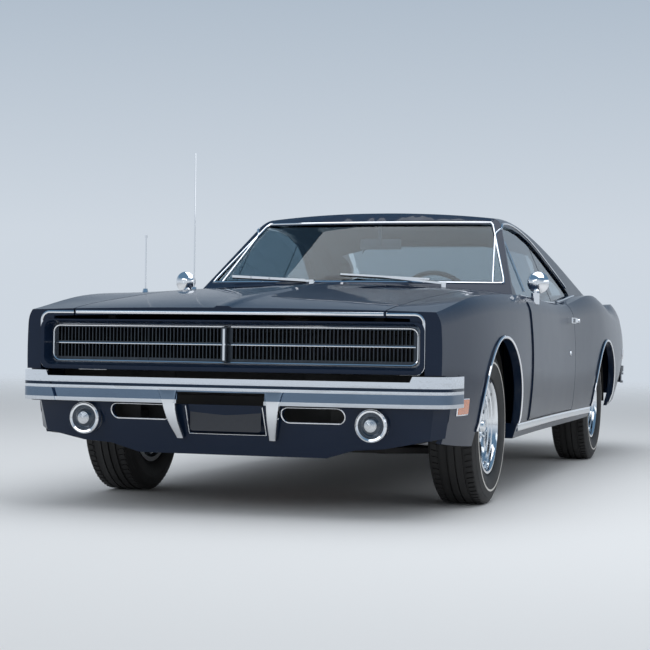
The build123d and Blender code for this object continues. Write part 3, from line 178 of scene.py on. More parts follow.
enamel = Finish("navy_enamel", Metallic=0.0, Coat_Weight=0.45, Coat_Roughness=0.012, Coat_IOR=1.45,
                Specular_IOR_Level=0.05)
flake = enamel.noise(900.0, 1.0)
cloud = enamel.noise(3.0)
enamel.drive(Base_Color=enamel.blend(flake * 0.5 + cloud * 0.2, NAVY, NAVY_FLAKE))
enamel.drive(Roughness=cloud * 0.08 + 0.28)
PANELS = ["front_fender_left", "front_fender_right", "hood", "cowl", "roof", "quarter_panel_left",
          "quarter_panel_right", "trunk_lid", "tail_panel", "deck_filler", "sills", "door_left", "door_right",
          "front_valance", "grille_surround"]
dress(PANELS, enamel, PANEL_EDGE)

SIDES = (("left", 1), ("right", -1))
DOUBLES_GAP = 0.00001


def skin_of(*names):
    """The joined surface of some CAD nodes, for laying trim on."""
    joined = bmesh.new()
    for name in names:
        joined.from_mesh(nodes[name].data)
    tree = BVHTree.FromBMesh(joined)
    joined.free()
    return tree


def lay(skin, starts, towards, proud=0.0):
    """Moves points along one direction until they lie on the skin, then lifts them off it by proud."""
    towards = Vector(towards)
    landed = []
    for start in starts:
        spot = skin.ray_cast(Vector(start), towards)[0]
        if spot is not None:
            landed.append(spot - towards * proud)
    return landed


def settle(mesh, name, finish, body="body", sharp=SHARP):
    """Makes a finished piece of a bmesh: closed up, turned outwards, painted, and riding on a body."""
    bmesh.ops.remove_doubles(mesh, verts=mesh.verts, dist=DOUBLES_GAP)
    bmesh.ops.recalc_face_normals(mesh, faces=mesh.faces)
    data = bpy.data.meshes.new(name)
    mesh.to_mesh(data)
    mesh.free()
    shade_smooth(data)
    data.set_sharp_from_angle(angle=radians(sharp))
    data.materials.append(finish.material)
    piece = bpy.data.objects.new(name, data)
    bpy.context.scene.collection.objects.link(piece)
    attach(piece, body)
    return piece


# A light dressing of bright metal runs round every opening of the body.
# It is thin rolled steel or die-cast zinc with chrome plate, clipped or screwed on.
# Each strip is a bar of rounded section laid on the panel below it.
chrome = Finish("chrome_plate", Metallic=1.0, Base_Color=(0.86, 0.87, 0.89))
chrome.haze(14.0, 0.05, 0.03)

FRONT_AXLE = -1.690
REAR_AXLE = 1.282
AXLE_Z = 0.334
OUTSIDE = 1.3
PROUD = 0.001
SUNK = -0.002


def bend_bar(mesh, points, across, along, closed=False, twist="Z_UP"):
    """Adds a bar of rounded section that follows a line of points."""
    line = bpy.data.curves.new("bar", "CURVE")
    line.dimensions = "3D"
    line.twist_mode = twist
    line.bevel_depth = min(across, along)
    line.bevel_resolution = 2
    line.extrude = abs(along - across)
    line.use_fill_caps = True
    spline = line.splines.new("POLY")
    spline.points.add(len(points) - 1)
    for point, spot in zip(spline.points, points):
        point.co = (*spot, 1.0)
        point.tilt = pi / 2 if across > along else 0.0
    spline.use_cyclic_u = closed
    bar = bpy.data.objects.new("bar", line)
    bar_data = bpy.data.meshes.new_from_object(bar)
    mesh.from_mesh(bar_data)
    bpy.data.meshes.remove(bar_data)
    bpy.data.objects.remove(bar)
    bpy.data.curves.remove(line)


def bright_strip(name, lines, across, along, closed=False, body="body", twist=None):
    """One chromed piece made of a bar along each of some lines."""
    mesh = bmesh.new()
    for points in lines:
        bend_bar(mesh, points, across, along, closed, twist or ("MINIMUM" if closed else "Z_UP"))
    settle(mesh, name, chrome, body)


def spread(start, end, count):
    """Evenly placed numbers from start to end."""
    return [start + (end - start) * step / (count - 1) for step in range(count)]


def smooth_line(points, rounds=2):
    """Rounds the corners of a line of points by cutting them off, again and again."""
    for _ in range(rounds):
        cut = [points[0]]
        for first, second in zip(points, points[1:]):
            cut.append(tuple(0.75 * a + 0.25 * b for a, b in zip(first, second)))
            cut.append(tuple(0.25 * a + 0.75 * b for a, b in zip(first, second)))
        cut.append(points[-1])
        points = cut
    return points


flank = {"left": skin_of("front_fender_left", "quarter_panel_left", "door_left", "sills", "roof"),
         "right": skin_of("front_fender_right", "quarter_panel_right", "door_right", "sills", "roof")}
LIP_REACH = ((FRONT_AXLE, 0.386), (REAR_AXLE, 0.376))
DRIP_RAIL = [(-0.80, 0.985), (-0.70, 1.062), (-0.60, 1.136), (-0.50, 1.205), (-0.42, 1.262), (-0.36, 1.292),
             (-0.27, 1.307), (-0.11, 1.312), (0.08, 1.297), (0.29, 1.260), (0.46, 1.204), (0.62, 1.139),
             (0.77, 1.076), (0.90, 1.012)]
for name, side in SIDES:
    arches = []
    for axle, radius in LIP_REACH:
        starts = [(side * OUTSIDE, axle + radius * cos(turn), AXLE_Z + radius * sin(turn))
                  for turn in spread(0.0, pi, 49)]
        arches.append(lay(flank[name], starts, (-side, 0, 0), SUNK))
    bright_strip(f"arch_lips_{name}", arches, 0.007, 0.007, twist="MINIMUM")
    sill = [(side * OUTSIDE, y, 0.312) for y in spread(-1.285, 0.885, 30)]
    bright_strip(f"sill_strip_{name}", [lay(flank[name], sill, (-side, 0, 0), SUNK)], 0.008, 0.021)
    rail = [(side * OUTSIDE, y, z) for y, z in smooth_line(DRIP_RAIL)]
    bright_strip(f"drip_rail_{name}", [lay(flank[name], rail, (-side, 0, 0), PROUD)], 0.006, 0.005)

# Bright reveals run round the windshield and the rear window, and strips along the belt.
# They are thin rolled metal held by clips under the edge of the glass.
# The belt strips are split at the doors, and the doors' own ride on them.
REVEAL = 0.006


def cut_edges(corners, steps):
    """Points along a line of corners, each edge cut into steps, without the last corner."""
    return [(a0 + (a1 - a0) * step / steps, b0 + (b1 - b0) * step / steps)
            for (a0, b0), (a1, b1) in zip(corners, corners[1:]) for step in range(steps)]


def with_mirror(half):
    """A closed loop made of one half's points and their mirror image."""
    return half + [(-x, other) for x, other in reversed(half)][1:-1]


def ring_of(corners):
    return with_mirror(cut_edges(corners, 8) + corners[-1:])


front_skin = skin_of("roof", "cowl")
SCREEN_REVEAL = [(0.0, 0.982), (0.40, 0.982), (0.752, 0.982), (0.745, 1.005), (0.612, 1.292),
                 (0.598, 1.305), (0.30, 1.305), (0.0, 1.305)]
screen_ring = [(x, -OUTSIDE, z) for x, z in ring_of(SCREEN_REVEAL)]
bright_strip("screen_reveal", [lay(front_skin, screen_ring, (0, 1, 0), PROUD)], REVEAL, REVEAL, True)

rear_skin = skin_of("roof", "deck_filler", "quarter_panel_left", "quarter_panel_right")
BACK_REVEAL = [(0.0, 0.805), (0.27, 0.805), (0.528, 0.805), (0.534, 0.83), (0.553, 1.24),
               (0.553, 1.262), (0.27, 1.262), (0.0, 1.262)]
back_ring = [(x, y, 1.6) for x, y in ring_of(BACK_REVEAL)]
bright_strip("backlight_reveal", [lay(rear_skin, back_ring, (0, 0, -1), PROUD)], REVEAL, REVEAL, True)

BELT_X = 0.822
for name, side in SIDES:
    door_skin = skin_of(f"door_{name}")
    belt = [(side * BELT_X, y, 1.3) for y in spread(-0.735, 0.262, 24)]
    bright_strip(f"belt_strip_{name}", [lay(door_skin, belt, (0, 0, -1), PROUD)], 0.009, 0.005,
                 body=f"{name}_door")
    quarter_skin = skin_of(f"quarter_panel_{name}")
    quarter_belt = [(side * BELT_X, y, 1.02) for y in spread(0.292, 0.86, 16)]
    bright_strip(f"quarter_belt_{name}", [lay(quarter_skin, quarter_belt, (0, 0, -1), PROUD)], 0.009, 0.005)

# The nose carries a bright lip along the hood and a bright frame round the whole mouth.
# Both are die-cast and polished; the hood's lip opens with it.
# A second, thinner frame lies deep in the mouth round the screens.
NOSE_Y = -2.616
NOSE_SLOPE = 0.046 / 0.866


def nose_line(points, forward):
    """Points of (x, z) on the arrow-shaped front of the car, lifted forward of it."""
    return [(x, NOSE_Y + abs(x) * NOSE_SLOPE - forward, z) for x, z in points]


def round_corner(centre, radius, start, end, count=7):
    """Points along an arc about a centre."""
    return [(centre[0] + radius * cos(turn), centre[1] + radius * sin(turn))
            for turn in spread(start, end, count)]


HOOD_LIP_Z = 0.800
hood_lip = nose_line([(x, HOOD_LIP_Z) for x in spread(-0.650, 0.650, 41)], -0.001)
bright_strip("hood_lip", [hood_lip], 0.006, 0.008, body="bonnet")
MOUTH_HALF = 0.808
MOUTH_HIGH = 0.800
MOUTH_LOW = 0.573
mouth_right = ([(0.660, MOUTH_HIGH), (0.72, MOUTH_HIGH)] +
               round_corner((MOUTH_HALF - 0.035, MOUTH_HIGH - 0.035), 0.035, pi / 2, 0.0) +
               round_corner((MOUTH_HALF - 0.03, MOUTH_LOW + 0.03), 0.03, 0.0, -pi / 2) +
               [(x, MOUTH_LOW) for x in spread(0.70, 0.0, 12)])
mouth = mouth_right + [(-x, z) for x, z in reversed(mouth_right)][1:]
bright_strip("mouth_frame", [nose_line(mouth, -0.002)], 0.007, 0.007, twist="MINIMUM")
INNER_HALF = 0.776
INNER_HIGH = 0.747
INNER_LOW = 0.602
CORNER = 0.03
inner_right = ([(0.0, INNER_HIGH), (0.40, INNER_HIGH)] +
               round_corner((INNER_HALF - CORNER, INNER_HIGH - CORNER), CORNER, pi / 2, 0.0) +
               round_corner((INNER_HALF - CORNER, INNER_LOW + CORNER), CORNER, 0.0, -pi / 2) +
               [(0.40, INNER_LOW), (0.0, INNER_LOW)])
inner = with_mirror(inner_right)
bright_strip("screen_frame", [nose_line(inner, -0.047)], 0.005, 0.005, True)

# The grille is a comb of upright die-cast blades, satin dark with worn bright edges.
# Behind the outer screens the headlamps hide; their doors share the comb.
# A bright bar runs across its middle and a divider stands on the centre line.
blade_metal = Finish("grille_blades", Metallic=0.85, Specular_IOR_Level=0.6)
blade_tone = blade_metal.noise(30.0)
blade_metal.drive(Base_Color=blade_metal.blend(blade_tone, (0.030, 0.036, 0.045), (0.075, 0.088, 0.105)))
blade_metal.haze(90.0, 0.2, 0.25)
dress(["grille"], blade_metal, 0.0006)
GRILLE_MIDDLE = 0.6745
grille_bar = nose_line([(x, GRILLE_MIDDLE) for x in spread(-0.765, 0.765, 41)], -0.049)
bright_strip("grille_bar", [grille_bar], 0.0035, 0.0035)
DIVIDER_Y = NOSE_Y + 0.022
bright_strip("grille_divider", [[(0.0, DIVIDER_Y, 0.612), (0.0, DIVIDER_Y, 0.737)]], 0.006, 0.006)
DOOR_SEAM_X = 0.345
seams = bmesh.new()
for side in (-1, 1):
    seam = nose_line([(side * DOOR_SEAM_X, 0.606), (side * DOOR_SEAM_X, 0.743)], -0.0495)
    bend_bar(seams, seam, 0.0022, 0.0022)
settle(seams, "headlamp_door_seams", blade_metal)

# The bumpers are pressed spring steel with heavy chrome, bolted to irons on the frame rails.
# The face bar has a groove along it, and the guards hang from it in front.
# On the front bar, the groove is painted near-black as painted shade, and the hollow band under it is painted
# steel blue as a painted reflection of a dark ground, as in the picture.
bumper_plate = Finish("bumper_chrome", Metallic=1.0)
bumper_height = bumper_plate.along("Z")
bumper_ahead = bumper_plate.along("Y").under(0.0)
GROOVE_LOW, GROOVE_HIGH = 0.504, 0.516
HOLLOW_LOW, HOLLOW_HIGH = 0.455, 0.492
# A near-black line in the groove is painted shade, and the steel-blue band below it is a painted reflection.
painted_groove_shade = bumper_height.over(GROOVE_LOW) * bumper_height.under(GROOVE_HIGH) * bumper_ahead
painted_reflection_band = bumper_height.over(HOLLOW_LOW) * bumper_height.under(HOLLOW_HIGH) * bumper_ahead
plate_and_painted_reflection = bumper_plate.blend(painted_reflection_band, (0.80, 0.82, 0.85), (0.17, 0.23, 0.31))
bumper_plate.drive(Base_Color=bumper_plate.blend(painted_groove_shade, plate_and_painted_reflection, (0.03, 0.045, 0.07)))
bumper_plate.haze(9.0, 0.04, 0.04)
dress(["front_bumper", "rear_bumper"], bumper_plate, 0.003)


def lathe(mesh, profile, centre, axis, steps=32):
    """Spins a line of (radius, depth) points round an axis through a centre."""
    axis = Vector(axis).normalized()
    across = axis.orthogonal().normalized()
    centre = Vector(centre)
    ring = [mesh.verts.new(centre + across * radius + axis * depth) for radius, depth in profile]
    edges = [mesh.edges.new(pair) for pair in zip(ring, ring[1:])]
    bmesh.ops.spin(mesh, geom=ring + edges, cent=centre, axis=axis, angle=2 * pi, steps=steps,
                   use_merge=True)


def turned(name, profile, places, axis, steps, finish=chrome, body="body"):
    """One piece made of the same turned shape at each of some places."""
    mesh = bmesh.new()
    for place in places:
        lathe(mesh, profile, place, axis, steps)
    settle(mesh, name, finish, body)


BOLT_HEAD = ((0.0, 0.006), (0.006, 0.0052), (0.0105, 0.0025), (0.0115, 0.0), (0.0115, -0.006),
             (0.0, -0.006))
rear_bolts = [(x, 2.632 - abs(x) * 0.018, 0.530) for x in (-0.62, -0.30, 0.30, 0.62)]
turned("rear_bumper_bolts", BOLT_HEAD, rear_bolts, (0, 1, 0), 16)

# The lamps under the bumper have a turned bright bezel, a fluted clear lens and a bulb behind it.
# The markers on the flanks are small moulded lenses in a bright frame.
# Amber stands for the front pair, red for the rear pair.
LAMP_X = 0.606
LAMP_Z = 0.370
LAMP_Y = -2.576
FLUTES_A_METRE = 1100.0
FLANK_X = 0.80
clear_lens = Finish("fluted_lens", IOR=1.5, Coat_Weight=1.0, Coat_Roughness=0.02)
lamp_radius = ((abs(clear_lens.along("X")) - LAMP_X) ** 2.0
               + (clear_lens.along("Z") - LAMP_Z) ** 2.0) ** 0.5
lamp_rings = (lamp_radius * FLUTES_A_METRE).wave()
on_flank = abs(clear_lens.along("X")).over(FLANK_X)
clear = clear_lens.blend(lamp_rings, (0.50, 0.52, 0.54), (0.82, 0.84, 0.86))
BULB_RADIUS = 0.0245
BEZEL_RADIUS = 0.047
in_shade = lamp_radius.over(BULB_RADIUS) * lamp_radius.under(BEZEL_RADIUS)
lens_tone = clear_lens.blend(in_shade, clear, (0.035, 0.050, 0.070))
clear_lens.drive(Base_Color=clear_lens.blend(on_flank, lens_tone, (0.55, 0.13, 0.006)))
clear_lens.drive(Roughness=clear_lens.noise(50.0) * 0.1 + 0.08, Metallic=(1.0 - on_flank) * 0.75)
clear_lens.bump(lamp_rings, 0.35, 0.001)
dress(["front_lamps"], clear_lens, 0.001)
lamps = [(side * LAMP_X, LAMP_Y, LAMP_Z) for _, side in SIDES]
BEZEL = ((0.044, -0.004), (0.046, 0.006), (0.052, 0.0145), (0.059, 0.0165), (0.0645, 0.012), (0.066, 0.002),
         (0.066, -0.010), (0.044, -0.010), (0.044, -0.004))
BULB = ((0.0, 0.029), (0.012, 0.0275), (0.020, 0.0235), (0.024, 0.016), (0.024, 0.005), (0.0, 0.005))
turned("lamp_bezels", BEZEL, lamps, (0, -1, 0), 48)
turned("lamp_domes", BULB, lamps, (0, -1, 0), 32, clear_lens)

FRAME_GAP = 0.002
FRONT_MARKER = (-2.300, 0.439, 0.058, 0.120)
REAR_MARKER = (2.242, 0.620, 0.060, 0.120)
for name, side in SIDES:
    frames = []
    marker_skin = skin_of(f"front_fender_{name}", f"quarter_panel_{name}")
    for y, z, height, length in (FRONT_MARKER, REAR_MARKER):
        half_l, half_h = length / 2 + FRAME_GAP, height / 2 + FRAME_GAP
        corners = [(y - half_l, z - half_h), (y + half_l, z - half_h), (y + half_l, z + half_h),
                   (y - half_l, z + half_h), (y - half_l, z - half_h)]
        points = [(side * OUTSIDE, y, z) for y, z in cut_edges(corners, 4)]
        frames.append(lay(marker_skin, points, (-side, 0, 0), PROUD))
    bright_strip(f"marker_frames_{name}", frames, 0.004, 0.004, True)

# The front apron holds a blank number plate behind the bumper's dip and a cooling slot on each side.
# The plate is thin pressed steel with a rolled rim, screwed on at its upper corners.
# Each slot has a thin bright rim.
plate_steel = Finish("blank_plate", Metallic=0.0, Coat_Weight=0.4)
plate_steel.wear(60.0, 4.0, (0.010, 0.012, 0.018), (0.022, 0.026, 0.036), 0.3, 0.3)


def round_off(mesh, geometry, offset, segments, kind="EDGES"):
    """Bevels some edges, or some corners, of a mesh."""
    bmesh.ops.bevel(mesh, geom=geometry, affect=kind, offset=offset, segments=segments, profile=0.5,
                    material=-1)


def plate(name, centre, half_x, half_z):
    """A blank pressed plate with a raised rim, facing along Y."""
    mesh = bmesh.new()
    bmesh.ops.create_grid(mesh, x_segments=1, y_segments=1, size=1.0)
    bmesh.ops.scale(mesh, vec=(half_x, half_z, 1.0), verts=mesh.verts)
    round_off(mesh, mesh.verts[:], 0.012, 4, "VERTICES")
    rim = bmesh.ops.inset_region(mesh, faces=mesh.faces[:], thickness=0.004)
    rim_verts = list({vert for face in rim["faces"] for vert in face.verts})
    bmesh.ops.translate(mesh, verts=rim_verts, vec=(0, 0, 0.002))
    largest = max(mesh.faces, key=lambda face: face.calc_area())
    bmesh.ops.inset_region(mesh, faces=[largest], thickness=0.003)
    largest = max(mesh.faces, key=lambda face: face.calc_area())
    bmesh.ops.translate(mesh, verts=largest.verts[:], vec=(0, 0, -0.002))
    bmesh.ops.solidify(mesh, geom=mesh.faces[:], thickness=0.0015)
    turn = Matrix.Rotation(pi / 2 if centre[1] < 0 else -pi / 2, 4, "X")
    bmesh.ops.transform(mesh, matrix=Matrix.Translation(centre) @ turn, verts=mesh.verts)
    settle(mesh, name, plate_steel)


plate("front_plate", (0.0, -2.5705, 0.378), 0.150, 0.048)
apron_skin = skin_of("front_valance")
SLOT_X = 0.366
SLOT_Z = 0.402
SLOT_HALF = 0.098
SLOT_RADIUS = 0.031
NOSE_AHEAD = -2.9
slot_rims = []
for _, side in SIDES:
    outline = []
    for step in range(40):
        turn = 2 * pi * step / 40
        middle = SLOT_HALF if cos(turn) > 0 else -SLOT_HALF
        outline.append((side * (SLOT_X + middle + SLOT_RADIUS * cos(turn)), NOSE_AHEAD,
                        SLOT_Z + SLOT_RADIUS * sin(turn)))
    slot_rims.append(lay(apron_skin, outline, (0, 1, 0), PROUD))
bright_strip("slot_rims", slot_rims, 0.003, 0.003, True)
PLATE_RIM = ((-0.163, 0.430), (-0.163, 0.318), (0.0, 0.318), (0.163, 0.318), (0.163, 0.430))
plate_rim = lay(apron_skin, [(x, NOSE_AHEAD, z) for x, z in PLATE_RIM], (0, 1, 0), PROUD)
bright_strip("plate_rim", [plate_rim], 0.0025, 0.0025)

# Each wheel is a chromed steel rim with five pressed spokes, held by lug nuts round a small cap.
# The rim itself comes from the frame, and its nuts, valve and cap are turned pieces.
# The drum behind it is cast iron.
rim_chrome = Finish("rim_chrome", Metallic=1.0, Base_Color=(0.80, 0.82, 0.84))
rim_chrome.haze(20.0, 0.06, 0.07)
WHEELS = (("fl", 1, FRONT_AXLE, "wheel_front_left"), ("fr", -1, FRONT_AXLE, "wheel_front_right"),
          ("rl", 1, REAR_AXLE, "wheel_rear_left"), ("rr", -1, REAR_AXLE, "wheel_rear_right"))
dress([f"rim_{mark}" for mark, *_ in WHEELS], rim_chrome, 0.001)
WHEEL_X = 0.785
SPOKE_FACE = 0.052
NUT = ((0.0, 0.0155), (0.005, 0.015), (0.0085, 0.0115), (0.0088, 0.002), (0.0105, 0.0), (0.0, 0.0))
CAP = ((0.0, 0.0265), (0.012, 0.0262), (0.020, 0.0245), (0.0245, 0.021), (0.026, 0.014), (0.0315, 0.012),
       (0.0335, 0.006), (0.0335, 0.0), (0.0, 0.0))
BOLT_CIRCLE = 0.052
VALVE_CIRCLE = 0.160
VALVE = ((0.0, 0.034), (0.0028, 0.034), (0.003, 0.016), (0.0045, 0.014), (0.005, 0.0), (0.0, 0.0))
SPOKES = 5
for mark, side, axle, body in WHEELS:
    hub = bmesh.new()
    face_x = side * (WHEEL_X + SPOKE_FACE)
    lathe(hub, CAP, (face_x, axle, AXLE_Z), (side, 0, 0), 40)
    for spoke in range(SPOKES):
        turn = 2 * pi * spoke / SPOKES
        spot = (face_x, axle - side * BOLT_CIRCLE * sin(turn), AXLE_Z + BOLT_CIRCLE * cos(turn))
        lathe(hub, NUT, spot, (side, 0, 0), 6)
    turn = pi / SPOKES
    valve = (side * (WHEEL_X + 0.030), axle + VALVE_CIRCLE * sin(turn), AXLE_Z + VALVE_CIRCLE * cos(turn))
    lathe(hub, VALVE, valve, (side, 0, 0), 12)
    settle(hub, f"hub_dress_{mark}", rim_chrome, body)

# The tyres are bias-ply rubber with a thin white ring, raised ribs on the flank and a block tread.
# They are moulded, with fine steps in the flank where the rings of the mould met.
# Each is built again here, because its grooves are cut below the plain running face.
RING_RADIUS = 0.2745
RING_HALF = 0.0042
TREAD_BLOCKS = 72
AXLES_MIDDLE = (FRONT_AXLE + REAR_AXLE) / 2
HALF_WHEELBASE = (REAR_AXLE - FRONT_AXLE) / 2
rubber = Finish("tyre_rubber")
wheel_y = abs(abs(rubber.along("Y") - AXLES_MIDDLE) - HALF_WHEELBASE)
wheel_radius = (wheel_y ** 2.0 + (rubber.along("Z") - AXLE_Z) ** 2.0) ** 0.5
white_ring = abs(wheel_radius - RING_RADIUS).under(RING_HALF) * abs(rubber.along("X")).over(WHEEL_X)
dust = rubber.noise(22.0, 4.0)
black = rubber.blend(dust, (0.010, 0.010, 0.011), (0.022, 0.021, 0.020))
rubber.drive(Base_Color=rubber.blend(white_ring, black, (0.62, 0.61, 0.58)), Roughness=dust * 0.25 + 0.5)
rubber.bump(rubber.noise(380.0), 0.15, 0.0008)
FLANK_PROFILE = [(0.1905, 0.082), (0.207, 0.083), (0.212, 0.093), (0.222, 0.0985), (0.238, 0.1035),
                 (0.252, 0.106), (0.266, 0.107), (0.2690, 0.1072), (0.2700, 0.1080), (0.2790, 0.1078),
                 (0.2800, 0.1068), (0.292, 0.1050), (0.302, 0.1015), (0.305, 0.1012), (0.306, 0.0995),
                 (0.3145, 0.0955), (0.3225, 0.0925), (0.3275, 0.0885), (0.3265, 0.060)]
RIB_PROFILE = [(0.3265, 0.0555), (0.3265, 0.0485), (0.3338, 0.047), (0.3325, 0.022), (0.3335, 0.020),
               (0.3265, 0.0215), (0.3265, 0.0145), (0.3338, 0.013)]
TREAD_ROW = 0.0725
BLOCK_SIZE = (0.029, 0.0215, 0.012)
BLOCK_RADIUS = 0.3255


def turn_and_move(mesh, made, angle, axis, way):
    """Turns some vertices about an axis through the origin, and then moves them."""
    bmesh.ops.rotate(mesh, cent=(0, 0, 0), matrix=Matrix.Rotation(angle, 3, axis), verts=made)
    bmesh.ops.translate(mesh, vec=way, verts=made)


def add_block(mesh, size, centre=(0.0, 0.0, 0.0), angle=0.0, axis="X"):
    """Adds a box, turned about its middle and then moved to its place."""
    made = bmesh.ops.create_cube(mesh, size=1.0)["verts"]
    bmesh.ops.scale(mesh, vec=size, verts=made)
    turn_and_move(mesh, made, angle, axis, centre)
    return made


profile = FLANK_PROFILE + RIB_PROFILE
profile += [(radius, -depth) for radius, depth in reversed(profile)]
profile.append(profile[0])
for mark, side, axle, body in WHEELS:
    tyre = bmesh.new()
    lathe(tyre, profile, (side * WHEEL_X, axle, AXLE_Z), (side, 0, 0), 120)
    for row, middle in enumerate((TREAD_ROW, -TREAD_ROW)):
        for block in range(TREAD_BLOCKS):
            made = add_block(tyre, BLOCK_SIZE)
            bmesh.ops.scale(tyre, vec=(0.94, 0.90, 1.0), verts=[vert for vert in made if vert.co.z > 0])
            turn_and_move(tyre, made, 0.25 - 0.5 * row, "Z", (0, 0, BLOCK_RADIUS))
            turn = 2 * pi * (block + row * 0.5) / TREAD_BLOCKS
            turn_and_move(tyre, made, turn, "X", (side * WHEEL_X + middle, axle, AXLE_Z))
    piece = settle(tyre, f"treaded_tyre_{mark}", rubber, body, 30)
    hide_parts(f"tyre_{mark}")

# Under the body hang the floor's pressings, the front beam and arms, the rear axle and the exhaust.
# Steel in satin black, cast iron at the drums and the case, and bare aluminised steel on the pipes.
# The drum fins, dampers, pipe tails and floor ribs are added to the frame's own pieces.
chassis = Finish("chassis_black")
chassis.wear(9.0, 5.0, (0.010, 0.010, 0.011), (0.030, 0.027, 0.024), 0.35, 0.4)
chassis.bump(chassis.noise(160.0), 0.1, 0.001)
dress(["floor_pan", "engine_bay", "front_suspension", "fuel_tank"], chassis, 0.001)
cast_iron = Finish("cast_iron", Metallic=0.75)
cast_iron.wear(24.0, 6.0, (0.055, 0.053, 0.050), (0.095, 0.062, 0.042), 0.3, 0.45)
cast_iron.bump(cast_iron.noise(220.0), 0.25, 0.001)
dress(["rear_axle", "knuckle_left", "knuckle_right", "transmission"], cast_iron, 0.0015)
pipe_steel = Finish("pipe_steel", Metallic=0.9)
pipe_steel.wear(6.0, 4.0, (0.30, 0.28, 0.26), (0.16, 0.12, 0.10), 0.3, 0.3)
dress(["exhaust"], pipe_steel, 0.001)

DRUM_X = 0.783
FIN_STEP = 0.011
FIN = ((0.139, 0.0), (0.1425, 0.001), (0.1425, -0.004), (0.139, -0.005))
for mark, side, axle, _ in WHEELS:
    body = "body" if mark[0] == "r" else ("left_knuckle" if side > 0 else "right_knuckle")
    drum = bmesh.new()
    for fin in range(5):
        lathe(drum, FIN, (side * (DRUM_X - fin * FIN_STEP), axle, AXLE_Z), (side, 0, 0), 48)
    settle(drum, f"drum_fins_{mark}", cast_iron, body)

DAMPER = ((0.0, 0.0), (0.012, 0.0), (0.013, 0.100), (0.026, 0.104), (0.027, 0.108), (0.027, 0.258),
          (0.024, 0.264), (0.0, 0.266))
dampers = bmesh.new()
for _, side in SIDES:
    lathe(dampers, DAMPER, (side * 0.470, REAR_AXLE - 0.085, 0.250), (-side * 0.10, -0.10, 1.0), 20)
settle(dampers, "rear_dampers", chassis)

tails = bmesh.new()
TAIL_RADIUS = 0.025
TAIL = ((0.300, 0.685, 0.206), (0.300, 0.78, 0.215), (0.42, 0.98, 0.40), (0.430, 1.30, 0.447),
        (0.445, 1.62, 0.40), (0.46, 1.95, 0.330), (0.47, 2.44, 0.335))
for _, side in SIDES:
    tail = smooth_line([(side * x, y, z) for x, y, z in TAIL], 3)
    bend_bar(tails, tail, TAIL_RADIUS, TAIL_RADIUS)
settle(tails, "tail_pipes", pipe_steel)

ribs = bmesh.new()
for side in (-1, 1):
    for x in (0.26, 0.38, 0.50):
        bend_bar(ribs, [(side * x, y, 0.2675) for y in spread(-0.93, 0.30, 12)], 0.012, 0.006)
settle(ribs, "floor_ribs", chassis)

# The engine is one plain block in the frame, painted orange, with its covers added.
# Rocker covers and the air cleaner are pressed steel; the fan stands in front.
# A battery and the washer bottle stay out, because the photograph doesn't show them.
engine_paint = Finish("engine_paint", Coat_Weight=0.3)
engine_paint.wear(12.0, 5.0, (0.30, 0.075, 0.020), (0.12, 0.040, 0.015), 0.3, 0.35)
dress(["engine"], engine_paint, 0.004)
covers = bmesh.new()
for side in (-1, 1):
    add_block(covers, (0.115, 0.56, 0.060), (side * 0.232, FRONT_AXLE + 0.08, 0.712), side * 0.5, "Y")
round_off(covers, covers.edges[:], 0.014, 3)
settle(covers, "rocker_covers", chassis)
FILTER_LID = ((0.0, 0.012), (0.012, 0.012), (0.014, 0.004), (0.150, 0.002), (0.176, -0.004),
              (0.183, -0.010), (0.183, -0.018), (0.0, -0.018))
turned("filter_lid", FILTER_LID, [(0.0, FRONT_AXLE + 0.100, 0.835)], (0, 0, 1), 64)
FAN_CENTRE = (0.0, FRONT_AXLE - 0.30, 0.52)
FAN_HUB = ((0.0, 0.03), (0.045, 0.03), (0.05, 0.0), (0.0, 0.0))
BLADES_OF_FAN = 6
fan = bmesh.new()
lathe(fan, FAN_HUB, FAN_CENTRE, (0, 1, 0), 24)
for blade in range(BLADES_OF_FAN):
    made = add_block(fan, (0.070, 0.002, 0.150), (0, 0, 0.115), 0.5, "Z")
    turn_and_move(fan, made, 2 * pi * blade / BLADES_OF_FAN, "Y", FAN_CENTRE)
settle(fan, "cooling_fan", cast_iron)

# The radiator stands behind the grille in a pressed steel support that closes the nose.
# Its core is a block of thin brass fins between two soldered tanks, all sprayed black.
# The support is bolted between the fenders and has a stiffening bead along each edge.
CORE_Y = -2.395
FIN_PITCH = 0.004
fins = Finish("radiator_fins", Metallic=0.6)
fin_wave = (fins.along("X") * (2 * pi / FIN_PITCH)).wave()
fins.drive(Base_Color=fins.blend(fin_wave, (0.010, 0.010, 0.011), (0.060, 0.055, 0.048)),
           Roughness=fin_wave * 0.1 + 0.5)
fins.bump(fin_wave, 0.6, 0.001)
CORE_AND_TANKS = (((0.56, 0.030, 0.180), 0.600), ((0.58, 0.036, 0.030), 0.702),
                  ((0.58, 0.036, 0.024), 0.500))
core = bmesh.new()
for size, height in CORE_AND_TANKS:
    add_block(core, size, (0.0, CORE_Y + 0.020, height))
round_off(core, core.edges[:], 0.006, 3)
settle(core, "radiator", fins)
SHEETS = (((0.50, 0.002, 0.26), -0.54, 0.605), ((0.50, 0.002, 0.26), 0.54, 0.605),
          ((0.62, 0.002, 0.022), 0.0, 0.724), ((0.62, 0.002, 0.020), 0.0, 0.485))
support = bmesh.new()
for size, x, height in SHEETS:
    add_block(support, size, (x, CORE_Y, height))
for height in (0.478, 0.732):
    bend_bar(support, [(x, CORE_Y, height) for x in spread(-0.785, 0.785, 5)], 0.012, 0.010)
settle(support, "radiator_support", chassis)

